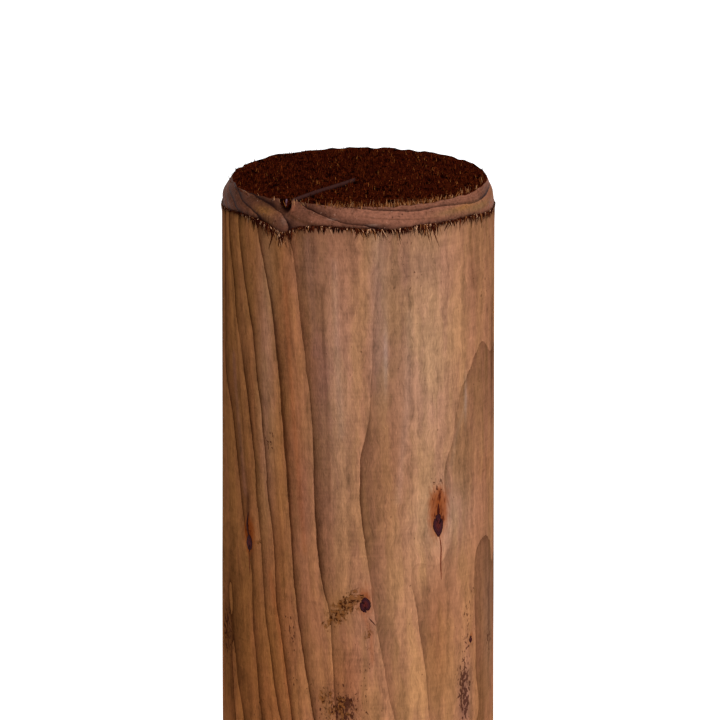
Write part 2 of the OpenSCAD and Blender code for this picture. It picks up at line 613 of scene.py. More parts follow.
@dataclass(frozen=True)
class Timber:
    """The round of wood that every piece is cut from: its sizes, its surface and its colours.

    Attributes:
        radius: Radius of the shaft.
        height: Height of the sawn end above the ground.
        rings: Its growth rings.
        knots: Its knots.
        recess: Depth at which a knot's face lies.
        shoulder: Drop of the torn shoulder on the front.
        shoulder_fall: How much lower the shoulder is round the back.
        tongue: How much lower it hangs under the open knot.
    """

    radius: float
    height: float
    rings: GrowthRings
    knots: tuple[Knot, ...] = FRONT_KNOTS + OTHER_KNOTS
    recess: float = 0.45
    shoulder: float = 8.2
    shoulder_fall: float = 2.2
    tongue: float = 3.0

    def shoulder_drop(self, azimuth: Array) -> Array:
        """Drop of the torn shoulder: even round the back, lowest under the rim knot."""
        level = self.shoulder + self.shoulder_fall * smooth_step(np.abs(turn_between(azimuth, -5)), 45, 100)
        under_knot = self.tongue * bell(azimuth, 0 * azimuth, (RIM_KNOT_AZIMUTH, 0), (5.5, 1))
        beside = 0.9 * bell(azimuth, 0 * azimuth, (-12, 0), (13, 1))
        return level + under_knot - beside + 0.5 * noise(azimuth / 360 * 26, 0 * azimuth, 11, 26)

    def relief(self, azimuth: Array, drop: Array) -> Array:
        """Gives how far the shaft's skin stands out from a true round.

        Slow waves from turning, a dip at each knot with a swell beside it, and torn hollows.

        Args:
            azimuth: Azimuths of the points.
            drop: Drops of the points.

        Returns:
            Millimetres outwards at each point.
        """
        turn = azimuth / 360
        height = 0.10 * noise(turn * 8, drop / 90, 21, 8) + 0.05 * noise(turn * 30, drop / 30, 22, 30)
        for knot in self.knots:
            height = height - self.recess * knot.spot(azimuth, drop, self.radius, (0.62, 0.62))
            height = height + 0.18 * knot.spot(azimuth, drop, self.radius, (1.6, 1.5))
        return height

    def skin(self, azimuth: Array, drop: Array) -> Array:
        """Radius of the shaft's skin, a hair inside the nominal round."""
        return self.radius - 0.02 + self.relief(azimuth, drop)

    def ring_values(self, number: Array, spacing: Array, azimuth: Array, drop: Array) -> Array:
        """Packs ring place, ring spacing and line strength into one vector for each point."""
        strength = 1 + Fade.total(LINE_FADES, azimuth, drop)
        turn = azimuth / 360
        patchy = 0.22 * noise(turn * 14, drop / 70, 31, 14)
        return np.stack([from_bark(number), spacing, np.clip(strength + patchy, 0, 1.7)], axis=-1)

    def edge_strength(self, azimuth: Array, drop: Array) -> Array:
        """How sharp and dark the outer edge of each ring is: fully so to the left of the front."""
        front = (1 - smooth_step(np.abs(turn_between(azimuth, 0)), 75, 120)) * smooth_step(drop, 260, 200)
        known = 1.0 - 0.6 * smooth_step(azimuth, -16, 8) + 0.3 * bell(azimuth, drop, (1, 108), (5, 24))
        elsewhere = 0.65 + 0.45 * noise(azimuth / 360 * 8, drop / 110, 33, 8)
        return np.clip(front * known + (1 - front) * elsewhere, 0, 1.2)

    def surface_rings(self, azimuth: Array, drop: Array) -> Array:
        """Ring values on the turned surface; the spacing is one ring over the slope of its number."""
        step = 0.4
        degrees = math.degrees(step / self.radius)
        number = self.rings.on_surface(azimuth, drop)
        across = (self.rings.on_surface(azimuth + degrees, drop) - number) / step
        along = (self.rings.on_surface(azimuth, drop + step) - number) / step
        spacing = 1 / np.maximum(np.hypot(across, along), 1 / 45)
        return self.ring_values(number, np.maximum(spacing, 1.2), azimuth, drop)

    def tint(self, azimuth: Array, drop: Array) -> Array:
        """Gives the colour of the plain wood between the ring lines.

        Amber to the left of the front, tan in the middle, blond to the right of it, and a slow
        mixture of the three round the back; mauve and rusty spots lie over that. Just below the torn
        shoulder, painted shade darkens it to near black, along with the dark torn fibres there.

        Args:
            azimuth: Azimuths of the points.
            drop: Drops of the points.

        Returns:
            (n, 3) linear colours.
        """
        amber, tan, blond = (np.array(c) for c in (TurnedWood.amber, TurnedWood.tan, TurnedWood.blond))
        turn = azimuth / 360
        wander = noise(turn * 7, drop / 160, 41, 7) + 0.5 * noise(turn * 19, drop / 45, 42, 19)
        front = 1 - smooth_step(np.abs(turn_between(azimuth, 0)), 70, 110)
        front = front * (1 - smooth_step(drop, 190, 260))
        left = 1 - smooth_step(azimuth + 5 * wander, -40, -8)
        right = bell(azimuth, 0 * drop, (27, 0), (24, 1))
        amber_share = front * left + (1 - front) * smooth_step(-wander, 0.05, 0.9)
        blond_share = front * right + (1 - front) * smooth_step(wander, 0.0, 0.9)
        colour = tan + (amber - tan) * amber_share[..., None] + (blond - tan) * blond_share[..., None]
        warm = smooth_step(drop, 100, 190)[..., None]
        colour = colour * (1 + warm * np.array(TurnedWood.warmth))
        colour = painted(colour, azimuth, drop, STAINS)
        # Painted shade under the torn shoulder edge: the wood darkens to near black there, along with its
        # dark torn fibres.
        torn = 0.85 * np.exp(-np.maximum(drop - self.shoulder_drop(azimuth), 0) / 1.1)
        torn = torn * (0.7 + 0.5 * noise(azimuth * 1.3, drop / 3, 43))
        return colour + (np.array(StainColour.SHADE_BLACK.value) - colour) * torn[..., None]

    def marks(self, azimuth: Array, drop: Array) -> Array:
        """Packs how resinous, torn and speckled the surface is into one vector a point."""
        resin = np.zeros(np.broadcast(azimuth, drop).shape)
        for knot in self.knots:
            drawn = knot.spot(azimuth, drop, self.radius, (0.85, 0.85), above=0.85)
            resin = resin + 1.15 * knot.resin * drawn
            resin = resin + 0.6 * knot.spot(azimuth, drop, self.radius, (0.8, 0.85))
        torn = Fade.total(TORN_PATCHES, azimuth, drop)
        specks = 0.10 + 0.15 * smooth_step(drop, 150, 210) + Fade.total(SPECKLED_PATCHES, azimuth, drop)
        return np.stack([np.clip(resin, 0, 1), np.clip(torn, 0, 1.2), np.clip(specks, 0, 1.2)], axis=-1)

    def fibre_place(self, azimuth: Array, radius: Array, drop: Array) -> Array:
        """Gives coordinates in which the fibres run straight down.

        The azimuth is unwound by the drift of the fibres down the post and by the way that they
        part round each knot, so that a pattern stretched along Z follows them.

        Args:
            azimuth: Azimuths of the points.
            radius: Radii of the points.
            drop: Drops of the points.

        Returns:
            (n, 3) millimetres.
        """
        drift = 0.075 * np.minimum(drop, 230) * bell(azimuth, 0 * drop, (-35, 0), (45, 1))
        unwound = azimuth - drift
        for knot in self.knots:
            pull = knot.spot(azimuth, drop, self.radius, (1.7, 1.25))
            unwound = unwound - 0.55 * turn_between(azimuth, knot.azimuth) * pull
        return around(unwound, radius, -drop)


class StainColour(Enum):
    """Colours that weather and handling have left on the wood, in linear light, and the near black used as
    painted shade.
    """

    MAUVE = linear(148, 104, 92)
    GREY = linear(150, 118, 102)
    RUST = linear(158, 88, 48)
    OLIVE = linear(140, 104, 66)
    DARK = linear(84, 50, 32)
    PALE = linear(200, 168, 150)
    GOLD = linear(150, 100, 52)
    ROSE = linear(176, 104, 74)
    # Near black for painted shade along the torn shoulder and in the open knot.
    SHADE_BLACK = linear(36, 12, 6)


def painted(colour: Array, azimuth: Array, drop: Array, layers: tuple["Stain | Stroke", ...]) -> Array:
    """Lays spots and strokes of other colours over a colour, one after another.

    Args:
        colour: (..., 3) linear colours.
        azimuth: Azimuths of the points.
        drop: Drops of the points.
        layers: The spots and strokes.

    Returns:
        The new colours: each layer moves the colour towards its own by its share.
    """
    for layer in layers:
        share = layer.share(azimuth, drop)[..., None]
        colour = colour + (np.array(layer.colour.value) - colour) * share
    return colour


@dataclass(frozen=True)
class Stroke:
    """A soft line of another colour.

    Attributes:
        path: Azimuth and drop of its corners.
        width: Millimetres to either side that it spreads.
        strength: Share of the wood's own colour that it takes, from 0 to 1.
        colour: Its colour.
    """

    path: tuple[tuple[float, float], ...]
    width: float
    strength: float
    colour: StainColour

    def share(self, azimuth: Array, drop: Array) -> Array:
        """How much of each point the stroke covers."""
        return self.strength * near_path(azimuth, drop, self.path, self.width)


@dataclass(frozen=True)
class Stain:
    """A soft spot of another colour.

    Attributes:
        azimuth: Middle of the spot.
        drop: Middle of the spot.
        reach: Degrees and millimetres that it spreads.
        strength: Share of the wood's own colour that it takes, from 0 to 1.
        colour: Its colour.
    """

    azimuth: float
    drop: float
    reach: tuple[float, float]
    strength: float
    colour: StainColour

    def share(self, azimuth: Array, drop: Array) -> Array:
        """How much of each point the spot covers."""
        return self.strength * bell(azimuth, drop, (self.azimuth, self.drop), self.reach)


STAINS = (
    Stain(9, 30, (4, 40), 0.55, StainColour.GREY),
    Stain(8.5, 58, (3, 12), 0.35, StainColour.GREY),
    Stain(11.6, 56, (0.9, 11), 0.55, StainColour.PALE),
    Stain(51.8, 76, (0.9, 7), 0.5, StainColour.PALE),
    Stain(25, 22, (14, 10), 0.45, StainColour.MAUVE),
    Stain(-20, 22, (8, 16), 0.4, StainColour.MAUVE),
    Stain(-14, 60, (5, 30), 0.35, StainColour.MAUVE),
    Stain(-25, 110, (5, 40), 0.3, StainColour.MAUVE),
    Stain(-26, 100, (4, 30), 0.3, StainColour.RUST),
    Stain(5, 160, (10, 22), 0.25, StainColour.MAUVE),
    Stain(-6, 178, (8, 16), 0.3, StainColour.RUST),
    Stain(14, 100, (10, 30), 0.22, StainColour.RUST),
    Stain(36, 165, (7, 26), 0.3, StainColour.RUST),
    Stain(60, 30, (6, 22), 0.18, StainColour.DARK),
    Stain(72, 105, (14, 6), 0.12, StainColour.RUST),
    Stain(78.5, 65, (2, 30), 0.55, StainColour.DARK),
    Stain(66, 72, (12, 14), 0.15, StainColour.OLIVE),
    Stain(68, 146, (9, 16), 0.3, StainColour.OLIVE),
    Stain(74, 165, (8, 28), 0.35, StainColour.GREY),
    Stain(-55, 40, (8, 40), 0.2, StainColour.OLIVE),
    Stain(-78, 60, (10, 60), 0.35, StainColour.DARK),
    Stain(-42, 60, (5, 60), 0.2, StainColour.PALE),
    Stain(-72, 170, (12, 26), 0.35, StainColour.DARK),
    Stain(52, 188, (5, 16), 0.65, StainColour.MAUVE),
    Stroke(((-22, 12), (-20, 30), (-18, 55)), 1.6, 0.35, StainColour.MAUVE),
    Stroke(((-10, 20), (-9, 50), (-7, 85)), 1.2, 0.12, StainColour.PALE),
    Stroke(((22, 40), (21, 75), (17, 110)), 1.5, 0.12, StainColour.PALE),
    Stroke(((-40, 140), (-33, 172), (-28, 200)), 1.0, 0.4, StainColour.RUST),
    Stain(50.5, 188, (2.8, 14), 0.45, StainColour.DARK),
    Stain(-76, 168, (4, 9), 0.45, StainColour.DARK),
    Stain(-8, 150, (6, 6), 0.35, StainColour.GOLD),
    Stain(-10, 186, (5, 8), 0.3, StainColour.DARK),
    Stain(0, 190, (4, 9), 0.25, StainColour.DARK),
    Stain(40, 118, (14, 12), 0.25, StainColour.PALE),
    Stain(-20, 70, (4, 40), 0.2, StainColour.DARK),
    Stain(30, 60, (13, 38), 0.16, StainColour.PALE),
    Stain(-8, 70, (7, 46), 0.14, StainColour.PALE),
    Stroke(((-15, 30), (-14, 60), (-12, 110)), 0.8, 0.4, StainColour.DARK),
    Stroke(((-54, 113), (-54, 120), (-53.4, 127)), 1.3, 0.75, StainColour.DARK),
    Stroke(((36, 112), (36, 119)), 1.5, 0.75, StainColour.DARK),
    Stroke(((3, 154), (5.5, 160), (6, 171)), 0.7, 0.4, StainColour.RUST),
    Stroke(((-66, 62), (-60, 92), (-56, 112)), 1.4, 0.35, StainColour.MAUVE),
    Stroke(((-32, 30), (-30, 60), (-27, 90), (-23, 130)), 1.0, 0.3, StainColour.RUST),
    Stroke(((-70, 20), (-62, 60), (-56, 100), (-49, 150)), 0.7, 0.4, StainColour.DARK),
    Stroke(((-38, 12), (-33, 40), (-30, 70)), 0.7, 0.3, StainColour.DARK),
    Stroke(((43, 100), (46, 88), (53, 76)), 1.0, 0.1, StainColour.PALE),
    Stroke(((55, 12), (57, 34)), 1.2, 0.4, StainColour.DARK),
)

HEAD_STAINS = (
    Stain(-45, 4.3, (6, 1.8), 0.75, StainColour.GOLD),
    Stain(-42, 7.5, (4, 2), 0.45, StainColour.GOLD),
    Stain(-62, 0, (8, 0.6), 0.4, StainColour.GOLD),
    Stain(-31, 2, (2, 2), 0.45, StainColour.ROSE),
    Stain(-33, 6.5, (1.5, 1.5), 0.15, StainColour.PALE),
    Stain(52, 4, (8, 1), 0.75, StainColour.GOLD),
    Stain(64, 5.6, (12, 1.6), 0.8, StainColour.OLIVE),
    Stain(42, 4.4, (8, 1.2), 0.45, StainColour.OLIVE),
    Stain(84, 5, (5, 2), 0.6, StainColour.GOLD),
    Stroke(((-56, 1), (-46, 1.6), (-38, 2.4)), 0.9, 0.8, StainColour.DARK),
    Stroke(((-31, 4), (-25, 5.6), (-18, 6.8), (-8, 7.4), (4, 7.6)), 0.75, 0.85, StainColour.DARK),
    Stroke(((-29, 3), (-22, 4.6)), 0.7, 0.3, StainColour.DARK),
    Stroke(((-48, 5.4), (-46, 8)), 0.5, 0.9, StainColour.DARK),
    Stroke(((-41, 5.6), (-41, 8)), 0.3, 0.7, StainColour.DARK),
    Stroke(((0, 3), (18, 4.6), (36, 5.4)), 0.22, 0.45, StainColour.DARK),
    Stroke(((-22, 2.4), (-22, 3)), 0.2, 0.9, StainColour.DARK),
    Stroke(((-11, 4.6), (-10, 5.4)), 0.2, 0.9, StainColour.DARK),
    Stroke(((31, 2.9), (31, 3.6)), 0.2, 0.9, StainColour.DARK),
    Stroke(((35, 3), (35, 3.8)), 0.15, 0.8, StainColour.DARK),
    Stain(6, 6.2, (2.5, 0.4), 0.5, StainColour.PALE),
    Stain(-11, 4.2, (2, 0.35), 0.3, StainColour.PALE),
    Stroke(((-80, 3.4), (-70, 5), (-64, 8)), 0.5, 0.45, StainColour.DARK),
    Stroke(((-76, 0.8), (-66, 2.9), (-54, 5.2)), 0.5, 0.6, StainColour.DARK),
)

TORN_PATCHES = (
    Fade(-1, 146, (3.2, 3.2), 1.0),
    Fade(-5, 149, (4.5, 3.2), 1.0),
    Fade(-9.5, 153.5, (4, 3.0), 1.0),
    Fade(-13, 157, (2.5, 2), 0.7),
    Fade(-7, 188, (7, 5), 0.7),
    Fade(-14, 184, (2.5, 3), 0.6),
    Fade(-3, 201, (5, 2.5), 0.8),
    Fade(-76, 167, (4, 9), 1.1),
    Fade(-47, 129, (2.6, 1.3), 0.9),
    Fade(-46, 190, (5, 2), 0.5),
    Fade(4.5, 161, (1.6, 4), 0.9),
    Fade(148, 420, (10, 12), 0.8),
    Fade(-140, 250, (8, 14), 0.7),
    Fade(40, 700, (7, 20), 0.7),
    Fade(-60, 940, (9, 14), 0.8),
    Fade(110, 930, (8, 18), 0.7),
    Fade(-15, 520, (6, 12), 0.6),
    Fade(180, 760, (8, 16), 0.7),
)

SPECKLED_PATCHES = (
    Fade(-6, 188, (9, 9), 0.9),
    Fade(51, 186, (4.5, 15), 1.2),
    Fade(54, 158, (4, 12), 0.6),
    Fade(-41, 90, (3, 4), 0.9),
    Fade(-30, 160, (4, 18), 0.5),
    Fade(36, 106, (4, 7), 0.7),
    Fade(-74, 168, (9, 12), 0.9),
    Fade(22, 22, (14, 14), 0.3),
    Fade(70, 30, (12, 22), 0.35),
    Fade(75, 171, (5, 7), 0.8),
    Fade(4, 172, (3, 8), 0.35),
    Fade(120, 300, (16, 60), 0.6),
    Fade(-130, 520, (14, 70), 0.6),
    Fade(20, 760, (12, 60), 0.6),
    Fade(-100, 980, (16, 70), 0.6),
)


# ---------------------------------------------------------------------------- finishes


class Graph:
    """Writes the shader nodes of one material."""

    def __init__(self, name: str) -> None:
        """Starts an empty material.

        Args:
            name: Name of the material.
        """
        self.material = bpy.data.materials.new(name)
        self.material.use_nodes = True
        self.tree = self.material.node_tree
        self.tree.nodes.clear()

    def node(self, kind: str, inputs: dict[str | int, object], **settings: object) -> bpy.types.Node:
        """Adds a node.

        Args:
            kind: Type of the node, without its leading "ShaderNode".
            inputs: What each input takes: a socket to link, or a value.
            **settings: Properties of the node.

        Returns:
            The node.
        """
        made = self.tree.nodes.new("ShaderNode" + kind)
        for name, value in settings.items():
            setattr(made, name, value)
        for key, value in inputs.items():
            if isinstance(value, Socket):
                self.tree.links.new(value, made.inputs[key])
            else:
                made.inputs[key].default_value = value
        return made

    def math(self, operation: str, first: object, second: object = 0.0, clamp: bool = False) -> Socket:
        """One number worked out from two."""
        made = self.node("Math", {0: first, 1: second}, operation=operation, use_clamp=clamp)
        return made.outputs[0]

    def plus(self, first: object, second: object) -> Socket:
        """The sum of two numbers."""
        return self.math("ADD", first, second)

    def minus(self, first: object, second: object) -> Socket:
        """The first number less the second."""
        return self.math("SUBTRACT", first, second)

    def times(self, first: object, second: object) -> Socket:
        """The product of two numbers."""
        return self.math("MULTIPLY", first, second)

    def divided(self, first: object, second: object) -> Socket:
        """The first number over the second."""
        return self.math("DIVIDE", first, second)

    def varied(self, light: object, patterns: tuple[tuple[Socket, float], ...]) -> Socket:
        """A brightness plus amount (pattern - 0.5) for each pattern and its amount."""
        for pattern, amount in patterns:
            light = self.plus(light, self.times(self.minus(pattern, 0.5), amount))
        return light

    def scaled(self, vector: object, factor: object) -> Socket:
        """A vector or colour times one number."""
        return self.node("VectorMath", {0: vector, "Scale": factor}, operation="SCALE").outputs[0]

    def product(self, vector: object, other: object) -> Socket:
        """A vector or colour times another, channel by channel."""
        return self.node("VectorMath", {0: vector, 1: other}, operation="MULTIPLY").outputs[0]

    def blend(self, share: object, first: object, second: object) -> Socket:
        """A colour that goes from first to second as share goes from 0 to 1."""
        first, second = (c if isinstance(c, Socket) else (*c, 1.0) for c in (first, second))
        made = self.node("Mix", {0: share, 6: first, 7: second}, data_type="RGBA", clamp_factor=True)
        return made.outputs[2]

    def laid_over(self, colour: object, share: object, strength: float, other: object) -> Socket:
        """A colour with another laid over it, by strength times share."""
        return self.blend(self.times(share, strength), colour, other)

    def between(self, value: object, low: float, high: float) -> Socket:
        """0 below low, 1 above high, and a smooth step between."""
        settings = {"Value": value, "From Min": low, "From Max": high}
        return self.node("MapRange", settings, interpolation_type="SMOOTHSTEP").outputs["Result"]

    def parts(self, name: str) -> list[Socket]:
        """The three numbers of a point attribute."""
        made = self.node("SeparateXYZ", {0: self.attribute(name)})
        return list(made.outputs)

    def number(self, name: str) -> Socket:
        """A point attribute as one number."""
        return self.node("Attribute", {}, attribute_name=name).outputs["Fac"]

    def attribute(self, name: str) -> Socket:
        """A point attribute as a vector."""
        return self.node("Attribute", {}, attribute_name=name).outputs["Vector"]

    def noise(self, place: object, frequency: tuple[float, float, float], detail: float = 2.0) -> Socket:
        """Random values round 0.5, with the given bumps per unit along each axis."""
        stretched = self.product(place, frequency)
        settings = {"Vector": stretched, "Scale": 1.0, "Detail": detail, "Roughness": 0.55}
        return self.node("TexNoise", settings).outputs["Fac"]

    def finish(
        self, colour: object, roughness: object, height: object, gloss: float, depth: float
    ) -> bpy.types.Material:
        """Ends the material in one shader.

        Args:
            colour: Base colour.
            roughness: Roughness.
            height: Height of the bumps in millimetres.
            gloss: Specular level.
            depth: Strength of the bumps.

        Returns:
            The material.
        """
        bump = self.node("Bump", {"Height": height, "Distance": METRES, "Strength": depth})
        settings = {"Base Color": colour, "Roughness": roughness, "Specular IOR Level": gloss}
        settings["Normal"] = bump.outputs[0]
        shader = self.node("BsdfPrincipled", settings)
        self.node("OutputMaterial", {"Surface": shader.outputs[0]})
        return self.material


class Finish(ABC):
    """A material of the post; each kind writes its own nodes."""

    @abstractmethod
    def write(self, g: Graph) -> bpy.types.Material:
        """Writes the nodes into an empty graph and gives back its finished material."""

    def build(self, name: str) -> bpy.types.Material:
        """Makes the material under the given name."""
        return self.write(Graph(name))


@dataclass(frozen=True)
class TurnedWood(Finish):
    """Sapwood as the lathe leaves it: ring lines, fine fibres, resin and torn patches.

    A ring line is dark at its outer edge and fades inwards. With d as the millimetres behind the
    edge and w as the width of the ring, it is edge 0.62 exp(-d / core) + 0.5 exp(-(d / 0.42 w)^2).
    A false ring, a fainter line part of the way across, adds 0.24 exp(-(its own d) / false_width).

    Attributes:
        amber: Colour of the wood left of the front.
        tan: Colour of the wood in the middle.
        blond: Colour of the wood right of the front.
        warmth: Share of each channel that the colour gains lower down.
        rust: Colour of wood that resin has stained.
        pitch: Colour of dried resin.
        straw: Colour of torn fibres.
        hollow: Colour in the pits between them.
        dust: Colour of specks of dirt.
        core: Width of the dark edge of a ring.
        reach: Share of the ring that the shade behind the edge takes.
        false_width: Width of a false ring's line.
        dark: What the wood's colour is multiplied by in a ring line.
    """

    amber: Colour = linear(156, 101, 60)
    tan: Colour = linear(160, 110, 79)
    blond: Colour = linear(172, 126, 93)
    warmth: Colour = (0.04, -0.03, -0.13)
    rust: Colour = linear(140, 66, 24)
    pitch: Colour = linear(66, 16, 8)
    straw: Colour = linear(122, 72, 32)
    hollow: Colour = linear(46, 16, 6)
    dust: Colour = linear(58, 24, 18)
    core: float = 0.85
    reach: float = 0.42
    false_width: float = 0.7
    dark: Colour = (0.24, 0.19, 0.17)

    def ring_line(self, g: Graph, mottle: object) -> tuple[object, object]:
        """Strength of the ring line, and a random number that each ring keeps."""
        position, spacing, strength = g.parts("rings")
        waver = g.divided(g.times(g.minus(mottle, 0.5), 1.3), spacing)
        position = g.plus(position, waver)
        whole = g.math("FLOOR", position)
        ring = g.node("TexWhiteNoise", {"W": whole}, noise_dimensions="1D").outputs["Value"]
        crossed = g.times(g.math("FRACT", position), spacing)
        edge = g.math("EXPONENT", g.divided(crossed, -self.core))
        edge = g.times(edge, g.times(g.number("edges"), 0.62))
        far = g.divided(g.divided(crossed, self.reach), spacing)
        shade = g.math("EXPONENT", g.times(g.times(far, far), -1.0))
        line = g.plus(edge, g.times(shade, 0.5))
        false_start = g.plus(g.times(ring, 0.35), 0.35)
        past = g.minus(g.math("FRACT", position), false_start)
        past = g.times(g.math("ABSOLUTE", past), spacing)
        false_line = g.math("EXPONENT", g.divided(past, -self.false_width))
        faint = g.times(g.number("edges"), 0.24)
        line = g.plus(line, g.times(false_line, faint))
        own = g.plus(g.times(ring, 0.3), 0.85)
        return g.times(g.times(line, strength), own), ring

    def write(self, g: Graph) -> bpy.types.Material:
        """Fibres and ring lines over the wood's own colour, then resin, torn wood and dirt."""
        straight = g.attribute("fibres")
        bend = g.noise(straight, (0.16, 0.16, 0.13), 2.0)
        sway = g.node("CombineXYZ", {"X": g.times(bend, 3.2), "Y": g.times(bend, 2.4)})
        place = g.node("VectorMath", {0: straight, 1: sway.outputs[0]}, operation="ADD").outputs[0]
        resin, torn, specks = g.parts("marks")
        fleck = g.noise(place, (1.5, 1.5, 0.36), 4.0)
        fibre = g.noise(place, (3.4, 3.4, 0.45), 2.0)
        streak = g.noise(place, (0.42, 0.42, 0.016), 3.0)
        mottle = g.noise(place, (0.45, 0.45, 0.10), 3.0)
        blotch = g.noise(place, (0.28, 0.28, 0.14), 3.0)
        hue = g.noise(place, (0.14, 0.14, 0.03), 3.0)
        chatter = g.noise(straight, (0.06, 0.06, 1.1), 2.0)
        line, ring = self.ring_line(g, mottle)

        colour = g.attribute("tint")
        shift = g.blend(g.between(hue, 0.36, 0.64), (1.01, 1.02, 0.94), (1.01, 0.96, 1.01))
        colour = g.product(colour, shift)
        fine = ((fleck, 0.66), (fibre, 0.70))
        broad = ((streak, 0.95), (blotch, 0.85), (chatter, 0.28), (ring, 0.10))
        light = g.varied(1.0, fine + broad)
        glint = g.between(g.noise(place, (1.9, 1.9, 0.30), 1.0), 0.64, 0.74)
        light = g.plus(light, g.times(glint, 0.18))
        colour = g.scaled(colour, light)
        colour = g.blend(line, colour, g.product(colour, self.dark))

        flame = g.noise(place, (1.3, 1.3, 0.30), 4.0)
        glow = g.between(g.plus(resin, g.times(flame, 0.7)), 0.47, 1.20)
        colour = g.laid_over(colour, glow, 0.8, self.rust)
        drips = g.plus(g.times(resin, 0.75), g.times(flame, 1.7))
        colour = g.laid_over(colour, g.between(drips, 1.42, 1.84), 0.85, self.pitch)

        ragged = g.noise(place, (0.50, 0.50, 0.50), 5.0)
        strand = g.noise(place, (0.55, 0.55, 0.9), 4.0)
        open_wood = g.plus(g.times(torn, 0.5), g.times(ragged, 2.4))
        inside = g.between(torn, 0.06, 0.4)
        golden = g.times(g.between(open_wood, 1.36, 1.72), inside)
        colour = g.laid_over(colour, golden, 0.75, self.straw)
        pits = g.times(g.between(strand, 0.49, 0.60), g.between(open_wood, 1.42, 1.75))
        pits = g.times(pits, inside)
        colour = g.laid_over(colour, pits, 0.9, self.hollow)
        dust = g.noise(place, (1.0, 1.0, 0.55), 2.0)
        dotted = g.plus(dust, g.times(specks, 0.27))
        colour = g.laid_over(colour, g.between(dotted, 0.755, 0.82), 0.8, self.dust)

        height = g.times(line, -0.12)
        for pattern, amount in ((fleck, 0.22), (fibre, 0.08), (chatter, 0.05)):
            height = g.plus(height, g.times(pattern, amount))
        height = g.plus(height, g.times(golden, g.times(strand, -0.6)))
        rough = g.plus(0.55, g.times(fleck, 0.3))
        return g.finish(colour, rough, height, 0.0, 0.9)


@dataclass(frozen=True)
class ChamferWood(Finish):
    """The burnished chamfer: its painted colours, with fine dark ring lines.

    A ring line is 0.8 exp(-(d / core)) + 0.35 exp(-(d / shade)) on the inner side of the edge.

    Attributes:
        core: Width of the dark edge of a ring.
        shade: Width of the shade behind it.
        line: Colour of the ring lines and of pits.
        chip: Colour of pale chips.
    """

    core: float = 0.42
    shade: float = 1.6
    line: Colour = linear(38, 14, 9)
    chip: Colour = linear(196, 150, 128)

    def write(self, g: Graph) -> bpy.types.Material:
        """Uneven colour, dark ring lines, then pits and pale chips."""
        place = g.attribute("fibres")
        position, spacing, strength = g.parts("rings")
        waver = g.times(g.minus(g.noise(place, (0.5, 0.5, 0.4), 2.0), 0.5), 0.10)
        position = g.plus(position, waver)
        crossed = g.times(g.math("FRACT", position), spacing)
        edge = g.math("EXPONENT", g.divided(crossed, -self.core))
        shade = g.math("EXPONENT", g.divided(crossed, -self.shade))
        bands = g.noise(g.node("CombineXYZ", {"X": position}).outputs[0], (6.0, 1.0, 1.0), 3.0)
        fleck = g.noise(place, (1.1, 1.1, 1.3), 4.0)
        streak = g.noise(place, (0.5, 0.5, 0.12), 3.0)

        light = g.varied(1.0, ((bands, 1.1), (fleck, 1.3), (streak, 1.0)))
        colour = g.scaled(g.attribute("tint"), light)
        dark = g.plus(g.times(edge, 0.85), g.times(shade, 0.42))
        dark = g.math("MULTIPLY", dark, strength, clamp=True)
        colour = g.blend(dark, colour, self.line)
        pits = g.between(g.noise(place, (0.9, 0.9, 0.9), 2.0), 0.66, 0.74)
        colour = g.laid_over(colour, pits, 0.7, self.line)
        chips = g.between(g.noise(place, (1.3, 1.3, 1.3), 2.0), 0.68, 0.76)
        colour = g.laid_over(colour, chips, 0.45, self.chip)

        height = g.plus(g.times(fleck, 0.25), g.times(dark, -0.25))
        rough = g.plus(0.45, g.times(fleck, 0.25))
        return g.finish(colour, rough, height, 0.03, 1.0)


@dataclass(frozen=True)
class SawnEnd(Finish):
    """End grain torn up by the saw: very dark red brown with rusty fibres and black pits.

    Attributes:
        ground: Usual colour.
        rusty: Colour of the raised fibres.
        pit: Colour of the pits.
    """

    ground: Colour = linear(58, 16, 6)
    rusty: Colour = linear(104, 44, 17)
    pit: Colour = linear(14, 2, 1)

    def write(self, g: Graph) -> bpy.types.Material:
        """Rusty grit over the ground colour, black pits, and a dark line in each ring."""
        place = g.attribute("fibres")
        position = g.parts("rings")[0]
        share = g.math("FRACT", position)
        grit = g.noise(place, (1.6, 1.6, 1.6), 3.0)
        clump = g.noise(place, (0.35, 0.35, 0.35), 3.0)
        late = g.math("EXPONENT", g.times(share, -4.0))
        colour = g.blend(g.between(grit, 0.5, 0.68), self.ground, self.rusty)
        colour = g.blend(g.between(clump, 0.5, 0.36), colour, self.pit)
        colour = g.laid_over(colour, late, 0.5, self.pit)
        height = g.plus(g.times(grit, 0.9), g.times(late, -0.3))
        return g.finish(colour, 0.9, height, 0.0, 1.0)


@dataclass(frozen=True)
class LooseFibre(Finish):
    """Fibres that stand away from the wood; each carries its own colour."""

    gloss: float = 0.0

    def write(self, g: Graph) -> bpy.types.Material:
        """The fibre's own colour, a little uneven."""
        place = g.node("TexCoord", {}).outputs["Object"]
        uneven = g.noise(place, (1400.0, 1400.0, 500.0), 2.0)
        light = g.plus(0.6, g.times(uneven, 0.8))
        colour = g.scaled(g.attribute("tint"), light)
        return g.finish(colour, 0.75, g.times(uneven, 0.05), self.gloss, 0.5)


